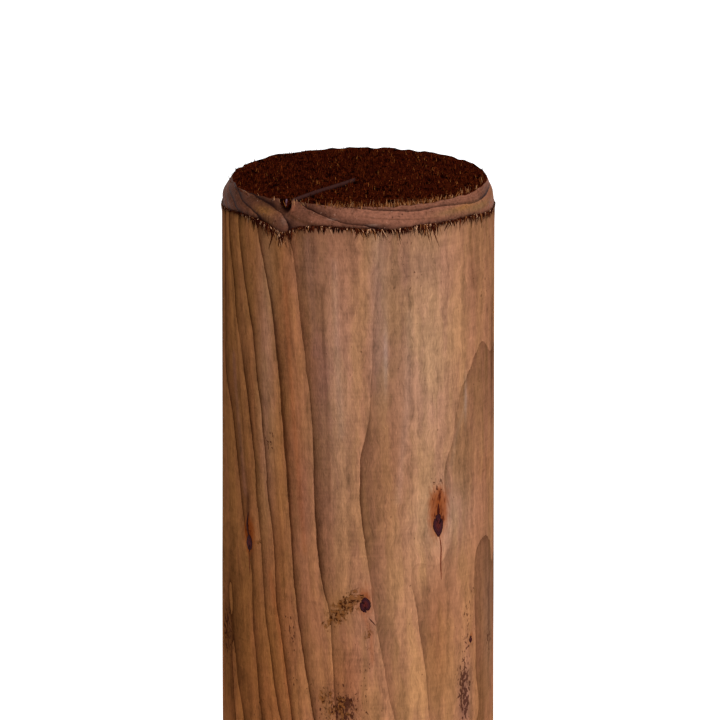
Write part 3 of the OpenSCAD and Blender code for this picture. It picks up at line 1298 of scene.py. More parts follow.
@dataclass(frozen=True)
class KnotFace(Finish):
    """Cut face of a branch: a dark bark edge, a reddish heart with rings, and cracks.

    Attributes:
        bark: Colour at the edge.
        wood: Colour between edge and heart.
        heart: Colour in the middle.
        crack: Colour in the cracks.
    """

    bark: Colour = linear(34, 10, 10)
    wood: Colour = linear(66, 30, 36)
    heart: Colour = linear(92, 36, 32)
    crack: Colour = linear(14, 3, 4)

    def write(self, g: Graph) -> bpy.types.Material:
        """Heart, wood and bark from the middle outwards, with fine rings and dark cracks."""
        outwards, cracked, _ = g.parts("face")
        place = g.node("TexCoord", {}).outputs["Object"]
        grit = g.noise(place, (1500.0, 1500.0, 1500.0), 3.0)
        phase = g.plus(g.times(outwards, 26.0), g.times(grit, 5.0))
        ring = g.math("SINE", phase)
        colour = g.blend(g.between(outwards, 0.2, 0.6), self.heart, self.wood)
        colour = g.scaled(colour, g.plus(0.75, g.times(ring, 0.16)))
        colour = g.scaled(colour, g.plus(0.45, grit))
        colour = g.blend(g.between(outwards, 0.62, 0.88), colour, self.bark)
        colour = g.blend(cracked, colour, self.crack)
        height = g.plus(g.times(ring, 0.05), g.times(grit, 0.2))
        return g.finish(colour, 0.5, height, 0.02, 0.7)


# ---------------------------------------------------------------------------- the pieces


@dataclass(frozen=True)
class Shaft:
    """The turned shaft from the ground to the torn shoulder.

    Attributes:
        timber: The wood that it is cut from.
        front_step: Degrees between columns on the front.
        back_step: Degrees between columns on the back.
        front_reach: Azimuth up to which columns are close.
        whorls: Middle drop of each row of knots below the head.
        plug_radius: Radius of the hidden end inside the head.
        plug_drop: Drop of the hidden end.
    """

    timber: Timber
    front_step: float = 0.72
    back_step: float = 2.6
    front_reach: float = 96.0
    whorls: tuple[float, ...] = (355, 600, 840, 1070)
    plug_radius: float = 44.0
    plug_drop: float = 12.6

    def columns(self) -> Array:
        """Azimuths of the columns: close together on the front, wider round the back."""
        front = np.arange(-self.front_reach, self.front_reach, self.front_step)
        back = np.arange(self.front_reach, 360 - self.front_reach, self.back_step)
        return np.concatenate([front, back])

    def drops(self) -> Array:
        """Drops of the rows from the ground up: close near the head and at each row of knots."""
        head = [np.arange(0, 112, 1.7), np.arange(112, 158, 1.1), np.arange(158, 206, 1.7)]
        knotty = np.concatenate([np.arange(whorl - 30, whorl + 32, 3.2) for whorl in self.whorls])
        coarse = np.arange(208, self.timber.height - 4, 12)
        far = coarse[np.min(np.abs(coarse[:, None] - knotty[None, :]), axis=1) > 4]
        return np.sort(np.concatenate([*head, knotty, far, [self.timber.height]]))[::-1]

    def build(self) -> bpy.types.Object:
        """Makes the shaft.

        The skin is radius + relief at azimuth a and drop d. Each column starts at the ground and
        ends at the shoulder, where the edge is torn into teeth.

        Returns:
            The piece that stands for the CAD node.
        """
        timber = self.timber
        azimuth = self.columns()
        drops = self.drops()
        shoulder = timber.shoulder_drop(azimuth)
        rng = np.random.default_rng(5)
        torn = rng.gamma(1.4, 0.28, len(azimuth)) + 2.2 * (rng.random(len(azimuth)) > 0.94)
        edge = shoulder + torn - 0.4
        fraction = drops / drops.max()
        # Row drops are squeezed from 0..height into shoulder..height, the shift fading as exp(-drop / 25).
        squeeze = np.exp(-drops / 25)[:, None]
        drop = drops[:, None] + squeeze * edge[None, :] * (fraction[:, None] < 1)
        side_azimuth = np.broadcast_to(azimuth, drop.shape)
        lip = np.exp(-(drop - edge[None, :]) / 1.2) * (0.02 + 0.12 * rng.random(len(azimuth)))[None, :]
        radius = timber.skin(side_azimuth, drop) + lip
        side = around(side_azimuth, radius, timber.height - drop)

        base_radii = np.array([0.0, 8.0, 16.0, 24.0, 32.0, 39.0, 44.5, 48.0])
        base = around(azimuth[None, :], base_radii[:, None], 0.0)
        cap = [
            around(azimuth, radius[-1] - 0.9, timber.height - edge - 0.3),
            around(azimuth, self.plug_radius, timber.height - self.plug_drop),
            around(azimuth, 0.0, timber.height - self.plug_drop),
        ]
        rows = np.concatenate([base, side, np.stack(cap)])
        shape = lathe(rows)

        full_azimuth = np.broadcast_to(azimuth, rows.shape[:2])
        full_drop = timber.height - rows[..., 2]
        rings = np.concatenate([
            self.base_rings(base),
            timber.surface_rings(side_azimuth, drop),
            np.repeat(timber.surface_rings(side_azimuth[-1:], drop[-1:]), len(cap), axis=0),
        ])
        reach = np.hypot(rows[..., 0], rows[..., 1])
        shape.values = {
            "rings": pole_values(rings),
            "tint": pole_values(timber.tint(full_azimuth, full_drop)),
            "marks": pole_values(timber.marks(full_azimuth, full_drop)),
            "edges": pole_values(timber.edge_strength(full_azimuth, full_drop)),
            "fibres": pole_values(timber.fibre_place(full_azimuth, reach, full_drop)),
        }
        made = shape.piece("post_shaft", [TurnedWood().build("turned_sapwood")])
        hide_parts(NODE)
        return made

    def base_rings(self, base: Array) -> Array:
        """Ring values on the flat base, where the rings close round the pith."""
        drop = np.full(base.shape[:2], self.timber.height)
        number = self.timber.rings.inside(base[..., 0], base[..., 1], drop)
        azimuth = np.degrees(np.arctan2(base[..., 0], -base[..., 1]))
        return self.timber.ring_values(number, np.full_like(number, 3.5), azimuth, drop)


@dataclass(frozen=True)
class Head:
    """The chamfer and the sawn end.

    Attributes:
        timber: The wood that it is cut from.
        rim_radius: Radius of the rim of the sawn end.
        rim_shift: How far the rim's centre lies towards +X.
        band_radius: Radius of the steep band above the shoulder.
        slope_drop: Drop at which the slope meets the band.
        skirt_drop: Drop at which the hidden part ends.
        count: Columns round the head.
        pitch: Distance between rows on the sawn end.
        notch_depth: Depth of the open knot.
        notch_place: Azimuth and drop of its middle.
        mauve: Colour of the chamfer to the right of the front.
        umber: Colour of its darker parts.
        side_loss: Share of each channel that the colour loses at the sides, as painted shade.
    """

    timber: Timber
    rim_radius: float = 46.6
    rim_shift: float = 0.5
    band_radius: float = 49.6
    slope_drop: float = 5.4
    skirt_drop: float = 15.0
    count: int = 560
    pitch: float = 0.5
    notch_depth: float = 3.4
    notch_place: tuple[float, float] = (-35.0, 1.0)
    mauve: Colour = linear(146, 94, 73)
    umber: Colour = linear(96, 56, 40)
    side_loss: Colour = (0.10, 0.24, 0.38)

    def radius(self, azimuth: Array, drop: Array) -> Array:
        """Radius of the plain chamfer: the smooth minimum of the slope and the band."""
        rim = self.rim_radius + self.rim_shift * np.sin(np.radians(azimuth))
        slope = rim + (self.band_radius - rim) * drop / self.slope_drop
        corner = 0.35
        least = np.minimum(slope, self.band_radius)
        return least - corner * np.log1p(np.exp(-np.abs(slope - self.band_radius) / corner))

    @cached_property
    def fit(self) -> LineFit:
        """The pull of the known ring lines on the chamfer."""
        return LineFit(HEAD_RING_LINES, self.plain_number, (13.0, 2.6), (4.5, 0.9), 0.003)

    def plain_number(self, azimuth: Array, drop: Array) -> Array:
        """Ring number on the chamfer from the shape of the log alone."""
        place = around(azimuth, self.radius(azimuth, drop), 0.0)
        return self.timber.rings.inside(place[..., 0], place[..., 1], drop)

    def notch(self, azimuth: Array, drop: Array) -> Array:
        """How far the open knot is cut in, from 0 to 1: an upright oval across the rim."""
        middle, level = self.notch_place
        across = turn_between(azimuth, middle + 0.35 * (drop - level)) / 3.1
        along = (drop - level) / 3.2
        return np.exp(-((across**2 + along**2) ** 2))

    def rim_lift(self, azimuth: Array) -> Array:
        """How far the rim stands above its level: highest left of the front."""
        return 0.8 * bell(azimuth, 0 * azimuth, (-27, 0), (20, 1)) - 0.15

    def end_height(self, x: Array, y: Array, number: Array) -> Array:
        """Height of the sawn end above its level: torn grain, a dip in each ring, saw marks."""
        share = from_bark(number) % 1
        reach = np.hypot(x, y)
        rough = 0.55 * noise(x / 1.2, y / 1.2, 51) + 0.35 * noise(x / 0.6, y / 0.6, 52)
        uneven = 0.35 * noise(x / 6, y / 6, 53)
        ridges = 0.5 * np.exp(-share / 0.35)
        saw = 0.14 * np.sin((0.9 * x + 0.45 * y) / 1.3 + 0.8 * noise(x / 9, y / 9, 54))
        return (rough + uneven + ridges + saw - 1.1) * smooth_step(47.2 - reach, 0, 3)

    def tint(self, azimuth: Array, drop: Array) -> Array:
        """Colour of the chamfer between its ring lines: mauve with gold, olive and dark spots, and painted
        shade at the sides, at the shoulder and in the open knot.
        """
        wander = 0.5 + 0.5 * noise(azimuth / 360 * 30, drop / 3, 58, 30)
        left = 1 - smooth_step(azimuth, -70, 10)
        mauve, umber = np.array(self.mauve), np.array(self.umber)
        share = np.clip(0.5 * left + 0.6 * wander * (0.5 + left), 0, 1)[..., None]
        colour = painted(mauve + (umber - mauve) * share, azimuth, drop, HEAD_STAINS)
        # Painted shade: the chamfer darkens towards both sides as seen from the front.
        sides = smooth_step(np.abs(turn_between(azimuth, 5)), 40, 85)
        colour = colour * (1 - sides[..., None] * np.array(self.side_loss))
        # Painted shade in the gap along the torn shoulder, and in the hollow of the open knot.
        above = np.maximum(self.timber.shoulder_drop(azimuth) - drop, 0)
        gap = np.exp(-((above / (1.15 + 0.6 * noise(azimuth * 0.35, drop / 2, 59))) ** 2))
        gap = np.clip(gap * (0.95 + 0.4 * noise(azimuth * 0.8, drop / 2, 60)), 0, 0.97)
        gap = np.maximum(gap, smooth_step(self.notch(azimuth, drop), 0.3, 0.7))
        return colour + (np.array(StainColour.SHADE_BLACK.value) - colour) * gap[..., None]

    def build(self) -> bpy.types.Object:
        """Makes the head.

        The chamfer is its profile turned round the axis, with a swell between ring lines and the
        notch of the open knot; the sawn end is level + end_height(x, y). Below the shoulder the
        profile draws in, so that the shaft hides it.

        Returns:
            The piece.
        """
        timber = self.timber
        azimuth = np.arange(self.count) * 360 / self.count - 180
        drops = np.concatenate([np.linspace(self.skirt_drop, 5.6, 22), np.linspace(5.3, 0.0, 22)])
        turned, drop = np.meshgrid(azimuth, drops)
        number = self.plain_number(turned, drop) + self.fit.correction(turned, drop)
        share = from_bark(number) % 1
        swell = 0.34 * np.sin(np.pi * share) ** 0.7 + 0.12 * noise(turned / 360 * 60, drop / 3, 55, 60) - 0.2
        tucked = 1.2 * smooth_step(drop - timber.shoulder_drop(turned), 0.3, 2.4)
        radius = self.radius(turned, drop) + swell - tucked - self.notch_depth * self.notch(turned, drop)
        sunk = 0.35 * noise(turned / 360 * 90, 0 * turned, 56, 90) + self.rim_lift(turned)
        sunk = sunk * smooth_step(drop, 2, 0)
        chamfer = around(turned, radius, timber.height - drop + sunk)

        shares = np.arange(1 - self.pitch / self.rim_radius * 0.6, 0.015, -self.pitch / self.rim_radius)
        end_turned, end_share = np.meshgrid(azimuth, shares)
        end = around(end_turned, self.radius(end_turned, 0.0) * end_share, timber.height)
        end_number = timber.rings.inside(end[..., 0], end[..., 1], np.zeros(end_share.shape))
        end_number = end_number + self.fit.correction(end_turned, 0 * end_share) * end_share**4
        lift = self.end_height(end[..., 0], end[..., 1], end_number)
        opened = self.notch(end_turned, (1 - end_share) * self.rim_radius * -0.5)
        end[..., 2] += lift + self.rim_lift(end_turned) * end_share**8 - 2.4 * opened

        skirt = [around(azimuth, inner, timber.height - self.skirt_drop - 0.6) for inner in (0.0, 40.0)]
        top = around(azimuth, 0.0, timber.height - 0.9)
        rows = np.concatenate([np.stack(skirt), chamfer, end, top[None]])
        numbers = np.concatenate([number[:2], number, end_number, end_number[-1:]])
        shape = lathe(rows)

        full_azimuth = np.broadcast_to(azimuth, rows.shape[:2])
        full_drop = np.maximum(timber.height - rows[..., 2], 0)
        rings = timber.ring_values(numbers, np.full(numbers.shape, 2.6), full_azimuth, full_drop)
        patchy = smooth_step(noise(full_azimuth / 360 * 24, full_drop / 4, 57, 24), -0.6, 0.6)
        rings[..., 2] = 0.65 + 0.45 * patchy + 0.4 * smooth_step(full_azimuth, -30, -60)
        reach = np.hypot(rows[..., 0], rows[..., 1])
        shape.values = {
            "rings": pole_values(rings),
            "tint": pole_values(self.tint(full_azimuth, full_drop)),
            "fibres": pole_values(timber.fibre_place(full_azimuth, reach, full_drop)),
        }
        materials = [ChamferWood().build("burnished_chamfer"), SawnEnd().build("sawn_end_grain")]
        row_slots = np.repeat((np.arange(len(rows) - 3) >= len(chamfer)).astype(int), self.count)
        slots = np.concatenate([row_slots, np.zeros(self.count, int), np.ones(self.count, int)])
        return shape.piece("post_head", materials, slots)


@dataclass(frozen=True)
class KnotFaces:
    """The cut faces of all the knots on the shaft.

    Attributes:
        timber: The wood that they sit in.
        rings: Rings of points on a face.
        spokes: Points round a face.
    """

    timber: Timber
    rings: int = 16
    spokes: int = 44

    def face(self, knot: Knot, seed: int) -> Shape:
        """Makes one face, a lens whose edge lies just under the skin of the shaft.

        With rho from 0 in the middle to 1 at the edge, the face stands at skin + 0.30 (1 - rho^2)
        - 0.15 rho^4, less its cracks; a flat back closes it inside the wood.

        Args:
            knot: The knot.
            seed: Picks its outline and its cracks.

        Returns:
            The closed lens.
        """
        spin = np.arange(self.spokes) / self.spokes * 2 * np.pi
        rho = np.linspace(0, 1, self.rings)[:, None]
        uneven = 1.16 + 0.10 * noise(spin * 5 / (2 * np.pi), 0 * spin + seed, seed, 5)
        pointed = 1 - 0.38 * np.sin(spin) ** 2
        across = 0.5 * knot.width * np.cos(spin) * uneven * pointed * rho
        along = 0.5 * knot.height * np.sin(spin) * uneven * rho
        cracks = self.cracks(spin, rho, knot, seed)
        azimuth = knot.azimuth + np.degrees(across / self.timber.radius)
        drop = knot.drop - along
        skin = self.timber.skin(azimuth, drop)
        crumble = 0.04 * noise(across / 0.5, along / 0.5, seed + 7)
        radius = skin - 0.15 * rho**4 + 0.30 * (1 - rho**2) - 0.14 * cracks + crumble
        front = around(azimuth, radius, self.timber.height - drop)
        back = around(azimuth[-1:], radius[-1:] - 0.8, self.timber.height - drop[-1:])
        level = self.timber.height - knot.drop
        middle = around(np.full((1, self.spokes), knot.azimuth), radius.mean() - 0.8, level)
        rows = np.concatenate([middle, back, front[::-1]])
        shape = lathe(rows)
        full = np.concatenate([0 * rho[:1], rho[-1:], rho[::-1]]) + 0 * spin
        crack = np.concatenate([0 * cracks[:1], cracks[-1:], cracks[::-1]])
        shape.values = {"face": pole_values(np.stack([full, crack, 0 * full], axis=-1))}
        return shape

    def cracks(self, spin: Array, rho: Array, knot: Knot, seed: int) -> Array:
        """Depth of two or three cracks that run from the heart towards the edge."""
        depth = np.zeros((len(rho), len(spin)))
        rng = np.random.default_rng(seed)
        for turn in rng.random(3) * 2 * np.pi:
            gap = (spin - turn - 0.5 * rho + np.pi) % (2 * np.pi) - np.pi
            width = 0.14 / np.maximum(0.5 * knot.width * rho, 0.2)
            depth = depth + np.exp(-((gap / width) ** 2)) * smooth_step(rho, 0.05, 0.3)
        return np.clip(depth, 0, 1) * (1 - smooth_step(rho, 0.75, 0.95))

    def build(self) -> bpy.types.Object:
        """Makes all the faces as one piece."""
        faces = [self.face(knot, 60 + i) for i, knot in enumerate(self.timber.knots)]
        return Shape.joined(faces).piece("knot_faces", [KnotFace().build("knot_wood")])


@dataclass(frozen=True)
class FibreTones:
    """Colours that loose fibres are drawn from, with how common each is."""

    colours: tuple[Colour, ...]
    shares: tuple[float, ...]

    def pick(self, rng: np.random.Generator, count: int) -> Array:
        """One colour for each fibre, a little lighter or darker than its tone."""
        chosen = rng.choice(len(self.colours), count, p=self.shares)
        return np.array(self.colours)[chosen] * rng.uniform(0.7, 1.3, count)[:, None]


@dataclass(frozen=True)
class EndFibres:
    """Short fibres that the saw has pulled up on the sawn end.

    Attributes:
        head: The head that they stand on.
        count: How many stand on the whole end.
        rim_count: How many of the longer ones stand along the front rim.
        tones: Colours of the short ones.
        rim_tones: Colours of the longer ones.
    """

    head: Head
    count: int = 7500
    rim_count: int = 520
    tones: FibreTones = FibreTones(
        (linear(38, 7, 2), linear(72, 22, 7), linear(100, 42, 15), linear(146, 86, 40)),
        (0.47, 0.33, 0.17, 0.03),
    )
    rim_tones: FibreTones = FibreTones(
        (linear(84, 38, 16), linear(150, 90, 46), linear(196, 140, 96)), (0.35, 0.4, 0.25)
    )

    def stand(
        self, place: Array, depth: float, length: Array, width: Array, rng: np.random.Generator
    ) -> Shape:
        """Stands slivers up at places on the sawn end.

        Each rises from inside the wood to its length, leaning up to about 25 degrees, and narrows
        to a fifth of its width.

        Args:
            place: (n, 2) X and Y.
            depth: How far below the end's level they start.
            length: (n,) lengths.
            width: (n,) half widths.
            rng: Source of the lean and turn of each.

        Returns:
            The slivers.
        """
        count = len(place)
        level = self.head.timber.height - depth
        foot = np.concatenate([place, np.full((count, 1), level)], axis=1)
        lean = rng.normal(0, 0.26, (count, 2))
        tip = foot + np.concatenate([lean * length[:, None], length[:, None]], axis=1)
        turn = rng.uniform(0, 2 * np.pi, count)
        side = np.stack([np.cos(turn), np.sin(turn), 0 * turn], axis=-1)
        lift = np.stack([-np.sin(turn), np.cos(turn), 0 * turn], axis=-1)
        taper = np.array([1.0, 0.2])[None, :, None]
        spine = np.stack([foot, tip], axis=1)
        thick = 0.55 * width
        return slivers(
            spine, side[:, None] * width[:, None, None] * taper, lift[:, None] * thick[:, None, None] * taper
        )

    def build(self) -> bpy.types.Object:
        """Scatters the fibres evenly over the end, and the longer ones along the front rim."""
        rng = np.random.default_rng(17)
        reach = (self.head.rim_radius + 0.2) * np.sqrt(rng.random(self.count))
        spread = np.radians(rng.uniform(-180, 180, self.count))
        place = np.stack([reach * np.sin(spread), -reach * np.cos(spread)], axis=-1)
        length = np.minimum(0.9 + rng.gamma(2.0, 0.45, self.count), 2.5)
        field_part = self.stand(place, 1.9, length, rng.uniform(0.12, 0.32, self.count), rng)
        field_part.values = {"tint": np.repeat(self.tones.pick(rng, self.count), 8, axis=0)}

        bearing = np.radians(rng.normal(16, 24, self.rim_count))
        edge = self.head.rim_radius + rng.normal(-0.3, 0.35, self.rim_count)
        rim_place = np.stack([edge * np.sin(bearing), -edge * np.cos(bearing)], axis=-1)
        rim_length = np.minimum(1.2 + rng.gamma(2.0, 0.5, self.rim_count), 3.6)
        rim_part = self.stand(rim_place, 0.9, rim_length, rng.uniform(0.08, 0.2, self.rim_count), rng)
        rim_part.values = {"tint": np.repeat(self.rim_tones.pick(rng, self.rim_count), 8, axis=0)}
        whole = Shape.joined([field_part, rim_part])
        return whole.piece("sawn_end_fibres", [LooseFibre().build("end_fibres")])


@dataclass(frozen=True)
class ShoulderFibres:
    """Fibres torn down over the edge of the shaft where the chamfer cutter stopped.

    Attributes:
        timber: The wood that they hang from.
        count: How many hang evenly round the post.
        clumps: Azimuth, spread, count and length of each thicker clump.
        tones: Colours of the fibres, mostly near black: dark torn fibres, and painted shade in the gaps
            between them.
    """

    timber: Timber
    count: int = 2300
    clumps: tuple[tuple[float, float, int, float], ...] = (
        (-43, 5, 120, 1.7),
        (-33, 3.5, 80, 2.0),
        (20, 4, 60, 1.5),
        (31, 2.6, 60, 2.3),
        (6, 3, 40, 1.2),
        (58, 12, 130, 1.2),
        (-15, 6, 50, 0.9),
    )
    # Mostly near black: dark torn fibres, and painted shade in the gaps between them.
    tones: FibreTones = FibreTones(
        (linear(46, 12, 6), linear(76, 32, 16), linear(122, 74, 42), linear(190, 142, 108)),
        (0.52, 0.26, 0.13, 0.09),
    )

    def hang(self, azimuth: Array, length: Array, rng: np.random.Generator) -> Shape:
        """Hangs slivers from the shoulder.

        Each starts at the torn edge and runs down the skin with a slight slant, curling out by
        up to a third of a millimetre in the middle and narrowing to its tip.

        Args:
            azimuth: (n,) azimuths.
            length: (n,) lengths.
            rng: Source of the slant, curl and width of each.

        Returns:
            The slivers.
        """
        count = len(azimuth)
        along = np.array([0.0, 0.45, 1.0])[None, :]
        start = self.timber.shoulder_drop(azimuth) - rng.uniform(0.1, 1.0, count)
        slant = np.degrees(rng.normal(0.05, 0.28, count) * length / self.timber.radius)
        drop = start[:, None] + length[:, None] * along
        turned = azimuth[:, None] + slant[:, None] * along
        curl = rng.uniform(0.02, 0.30, count)[:, None] * np.sin(np.pi * np.minimum(along * 0.8 + 0.1, 1))
        skin = self.timber.skin(turned, drop)
        spine = around(turned, skin + curl, self.timber.height - drop)
        width = (0.08 + rng.gamma(1.5, 0.07, count))[:, None] * np.array([1.0, 0.75, 0.12])[None, :]
        outwards = around(turned, 1.0, 0.0)
        level = np.cross(outwards, np.array([0.0, 0.0, -1.0]))
        return slivers(spine, level * -width[..., None], outwards * -0.5 * width[..., None])

    def build(self) -> bpy.types.Object:
        """Hangs the even fringe and the clumps as one piece."""
        rng = np.random.default_rng(23)
        azimuth = [rng.uniform(-180, 180, self.count)]
        thick = 0.55 + 0.9 * noise(azimuth[0] / 360 * 40, 0 * azimuth[0], 71, 40)
        length = [0.35 + rng.gamma(1.3, 0.5, self.count) * np.clip(thick, 0.1, 1.6)]
        for middle, spread, count, longer in self.clumps:
            azimuth.append(rng.normal(middle, spread, count))
            length.append(0.8 + rng.gamma(2.0, 0.62 * longer, count))
        shape = self.hang(np.concatenate(azimuth), np.concatenate(length), rng)
        total = len(shape.points) // 12
        shape.values = {"tint": np.repeat(self.tones.pick(rng, total), 12, axis=0)}
        return shape.piece("shoulder_fibres", [LooseFibre().build("torn_fibres")])


@dataclass(frozen=True)
class Crack:
    """A fine open line in the wood, filled with dirt or resin.

    Attributes:
        path: Azimuth and drop of its points.
        width: Full width in the middle.
        colour: Its colour.
    """

    path: tuple[tuple[float, float], ...]
    width: float
    colour: Colour


CRACKS = (
    Crack(((36.6, 125), (37.4, 130), (37.2, 136), (37.6, 142)), 0.55, linear(112, 46, 26)),
    Crack(((4.6, 154), (5.8, 155.2), (7.4, 156.8)), 0.5, linear(60, 26, 20)),
    Crack(((-53.4, 134), (-52.6, 139), (-52.4, 143)), 0.45, linear(92, 40, 24)),
    Crack(((36.0, 113), (35.8, 116), (36.1, 119)), 0.8, linear(60, 14, 8)),
    Crack(((-53.6, 119), (-54.4, 124), (-53.3, 129)), 1.1, linear(48, 16, 10)),
    Crack(((79.2, 42), (79.0, 58), (79.6, 74)), 0.5, linear(86, 44, 26)),
)


@dataclass(frozen=True)
class SurfaceCracks:
    """Cracks and resin lines in the skin of the shaft, the drying check across the end, and the painted
    highlight in the open knot.

    Attributes:
        timber: The wood that they run in.
        sections: Sections along each crack.
        check_colour: Colour of the drying check.
        core_colour: Colour of the sliver in the open knot, a painted blue-grey highlight.
    """

    timber: Timber
    sections: int = 14
    check_colour: Colour = linear(60, 32, 28)
    # A painted blue-grey highlight, not the wood's own colour.
    core_colour: Colour = linear(112, 84, 98)

    def upright_lens(
        self, azimuth: Array, radius: Array, drop: Array, half: tuple[float, float], colour: Colour
    ) -> Shape:
        """Makes a lens along a line on a round, narrow at both ends.

        Its half width at the share s of its length is half sqrt(1.02 - (2 s - 1)^2).

        Args:
            azimuth: Azimuth of each section.
            radius: Radius of each section.
            drop: Drop of each section.
            half: Half width in the middle, and half thickness.
            colour: Its colour.

        Returns:
            The lens.
        """
        share = np.linspace(0, 1, self.sections)
        spine = around(azimuth, radius, self.timber.height - drop)[None]
        wide = half[0] * np.sqrt(np.clip(1.02 - (2 * share - 1) ** 2, 0.02, 1))
        outwards = around(azimuth, 1.0, 0.0)[None]
        level = np.cross(outwards, np.array([0.0, 0.0, -1.0]))
        shape = slivers(spine, level * -wide[None, :, None], outwards * -half[1])
        shape.values = {"tint": np.repeat([colour], len(shape.points), axis=0)}
        return shape

    def line(self, crack: Crack) -> Shape:
        """Makes one crack as a lens that follows the skin and closes at both ends."""
        known = np.array(crack.path)
        share = np.linspace(0, 1, self.sections)
        stops = np.linspace(0, 1, len(known))
        azimuth, drop = np.interp(share, stops, known[:, 0]), np.interp(share, stops, known[:, 1])
        proud = self.timber.skin(azimuth, drop) + 0.02
        return self.upright_lens(azimuth, proud, drop, (0.5 * crack.width, 0.12), crack.colour)

    def drying_check(self) -> Shape:
        """Makes the check as a thin lens from the rim knot to the pith, level with the fibres."""
        pith = self.timber.rings.pith(np.zeros(1))[0]
        rim = around(np.array(RIM_KNOT_AZIMUTH + 1.5), np.array(44.8), 0.0)[:2]
        share = np.linspace(0, 1, self.sections)
        sway = 0.5 * np.sin(share * 5.0)
        flat = rim + (pith - rim) * share[:, None]
        ahead = (pith - rim) / np.linalg.norm(pith - rim)
        beside = np.array([-ahead[1], ahead[0]])
        flat = flat + sway[:, None] * beside
        spine = np.concatenate([flat, np.full((self.sections, 1), self.timber.height - 0.1)], axis=1)[None]
        half = np.linspace(0.19, 0.08, self.sections)[None, :, None]
        side = np.array([*beside, 0.0]) * half
        lift = np.array([0.0, 0.0, 1.0]) + 0 * side
        shape = slivers(spine, side, lift)
        shape.values = {"tint": np.repeat([self.check_colour], len(shape.points), axis=0)}
        return shape

    def knot_core(self) -> Shape:
        """Makes the sliver of branch wood that stands in the open rim knot, coloured blue-grey as a painted
        highlight.
        """
        share = np.linspace(0, 1, self.sections)
        drop = -0.6 + 2.4 * share
        azimuth = RIM_KNOT_AZIMUTH - 1.4 + 0.3 * drop
        return self.upright_lens(azimuth, 45.0 + 0.35 * drop, drop, (0.45, 0.4), self.core_colour)

    def build(self) -> bpy.types.Object:
        """Makes all the lines as one piece."""
        lines = [self.line(crack) for crack in CRACKS] + [self.drying_check(), self.knot_core()]
        return Shape.joined(lines).piece("cracks", [LooseFibre(0.05).build("crack_fill_and_knot_highlight")])


# ---------------------------------------------------------------------------- the studio


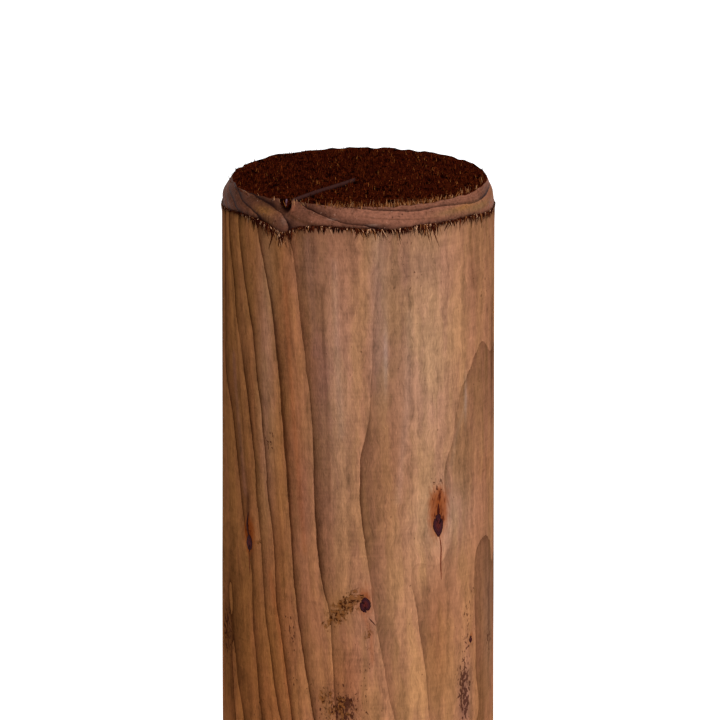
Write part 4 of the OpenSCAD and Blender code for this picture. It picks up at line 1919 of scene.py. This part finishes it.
@dataclass(frozen=True)
class Studio:
    """Camera, lights and pale floor.

    Attributes:
        elevation: Degrees of the camera above the horizon.
        lens: Focal length, long enough for near-parallel sides.
        distance: Metres from the camera to its target.
        target: What the camera looks at.
        key: Strength of the key light.
        key_from: Azimuth and elevation that the key light comes from.
        back_from: Azimuth and elevation that the light from behind comes from.
        fill: Strength of the light from all round.
        floor_radius: Radius of the floor in metres.
        floor_level: Height of the floor in metres, just clear of the post.
    """

    elevation: float = 14.3
    lens: float = 800.0
    distance: float = 5.88
    target: tuple[float, float, float] = (0.0007, 0.0, 1.1308)
    key: float = 2.1
    key_from: tuple[float, float] = (34, 34)
    back_from: tuple[float, float] = (185, 25)
    fill: float = 0.40
    floor_radius: float = 34.0
    floor_level: float = -0.0005

    def camera(self) -> None:
        """Places the camera in front of the post, a little above its end."""
        data = bpy.data.cameras.new("camera")
        data.lens = self.lens
        data.clip_end = 200.0
        made = bpy.data.objects.new("camera", data)
        bpy.context.scene.collection.objects.link(made)
        lift = math.radians(self.elevation)
        back = Vector((0.0, -math.cos(lift), math.sin(lift)))
        made.location = Vector(self.target) + back * self.distance
        made.rotation_mode = "QUATERNION"
        made.rotation_quaternion = (-back).to_track_quat("-Z", "Y")
        bpy.context.scene.camera = made

    def sun(self, name: str, place: tuple[float, float], strength: float, spread: float) -> None:
        """Adds a wide soft light.

        Args:
            name: Name of the light.
            place: Azimuth and elevation that it comes from, counted as on the post.
            strength: Strength.
            spread: Angle that it fills, in degrees.
        """
        data = bpy.data.lights.new(name, "SUN")
        data.energy = strength
        data.angle = math.radians(spread)
        made = bpy.data.objects.new(name, data)
        bpy.context.scene.collection.objects.link(made)
        turn, lift = (math.radians(angle) for angle in place)
        towards = Vector((math.sin(turn) * math.cos(lift), -math.cos(turn) * math.cos(lift), math.sin(lift)))
        made.rotation_mode = "QUATERNION"
        made.rotation_quaternion = towards.to_track_quat("Z", "Y")

    def seen_directly(self, tree: bpy.types.NodeTree) -> Socket:
        """1 where the camera, a reflection or a refraction looks, and 0 for light on surfaces."""
        path = tree.nodes.new("ShaderNodeLightPath")
        total = path.outputs["Is Camera Ray"]
        for name in ("Is Glossy Ray", "Is Transmission Ray"):
            both = tree.nodes.new("ShaderNodeMath")
            both.operation = "MAXIMUM"
            tree.links.new(total, both.inputs[0])
            tree.links.new(path.outputs[name], both.inputs[1])
            total = both.outputs[0]
        return total

    def world(self) -> None:
        """Makes a world that looks white and lights the post moderately from all round."""
        world = bpy.data.worlds.new("studio")
        bpy.context.scene.world = world
        world.use_nodes = True
        tree = world.node_tree
        tree.nodes.clear()
        background = tree.nodes.new("ShaderNodeBackground")
        background.inputs["Color"].default_value = (1.0, 1.0, 1.0, 1.0)
        strength = tree.nodes.new("ShaderNodeMapRange")
        tree.links.new(self.seen_directly(tree), strength.inputs["Value"])
        strength.inputs["To Min"].default_value = self.fill
        strength.inputs["To Max"].default_value = 1.0
        tree.links.new(strength.outputs["Result"], background.inputs["Strength"])
        output = tree.nodes.new("ShaderNodeOutputWorld")
        tree.links.new(background.outputs[0], output.inputs["Surface"])

    def floor(self) -> None:
        """Lays a wide white disc at ground level that glows just enough to read as white."""
        count = 96
        azimuth = np.arange(count) * 360 / count
        ring = around(azimuth, np.array(self.floor_radius), self.floor_level)
        mesh = bpy.data.meshes.new("floor")
        mesh.from_pydata([(0.0, 0.0, self.floor_level), *map(tuple, ring)], [], [
            (0, 1 + i, 1 + (i + 1) % count) for i in range(count)
        ])
        g = Graph("pale_floor")
        shown = self.seen_directly(g.tree)
        glow = g.times(shown, 0.62)
        settings = {"Base Color": (0.78, 0.78, 0.78, 1.0), "Roughness": 0.9, "Specular IOR Level": 0.1}
        settings |= {"Emission Color": (1.0, 1.0, 1.0, 1.0), "Emission Strength": glow}
        shader = g.node("BsdfPrincipled", settings)
        g.node("OutputMaterial", {"Surface": shader.outputs[0]})
        mesh.materials.append(g.material)
        made = bpy.data.objects.new("floor", mesh)
        bpy.context.scene.collection.objects.link(made)

    def build(self) -> None:
        """Sets up the view, the lights and the floor."""
        self.camera()
        self.sun("key_light", self.key_from, self.key, 40)
        self.sun("back_light", self.back_from, 0.5 * self.key, 12)
        self.world()
        self.floor()
        bpy.context.scene.view_settings.view_transform = "Standard"


def main() -> None:
    """Builds the post piece by piece and lights it."""
    logging.basicConfig(level=logging.INFO, format="%(name)s: %(message)s")
    low, high = (np.array(corner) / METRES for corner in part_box(NODE))
    radius = float((high[0] - low[0]) / 2)
    height = float(high[2])
    Studio().build()
    timber = Timber(radius, height, GrowthRings(radius, height))
    Shaft(timber).build()
    head = Head(timber)
    head.build()
    KnotFaces(timber).build()
    EndFibres(head).build()
    ShoulderFibres(timber).build()
    SurfaceCracks(timber).build()


if __name__ == "__main__":
    main()
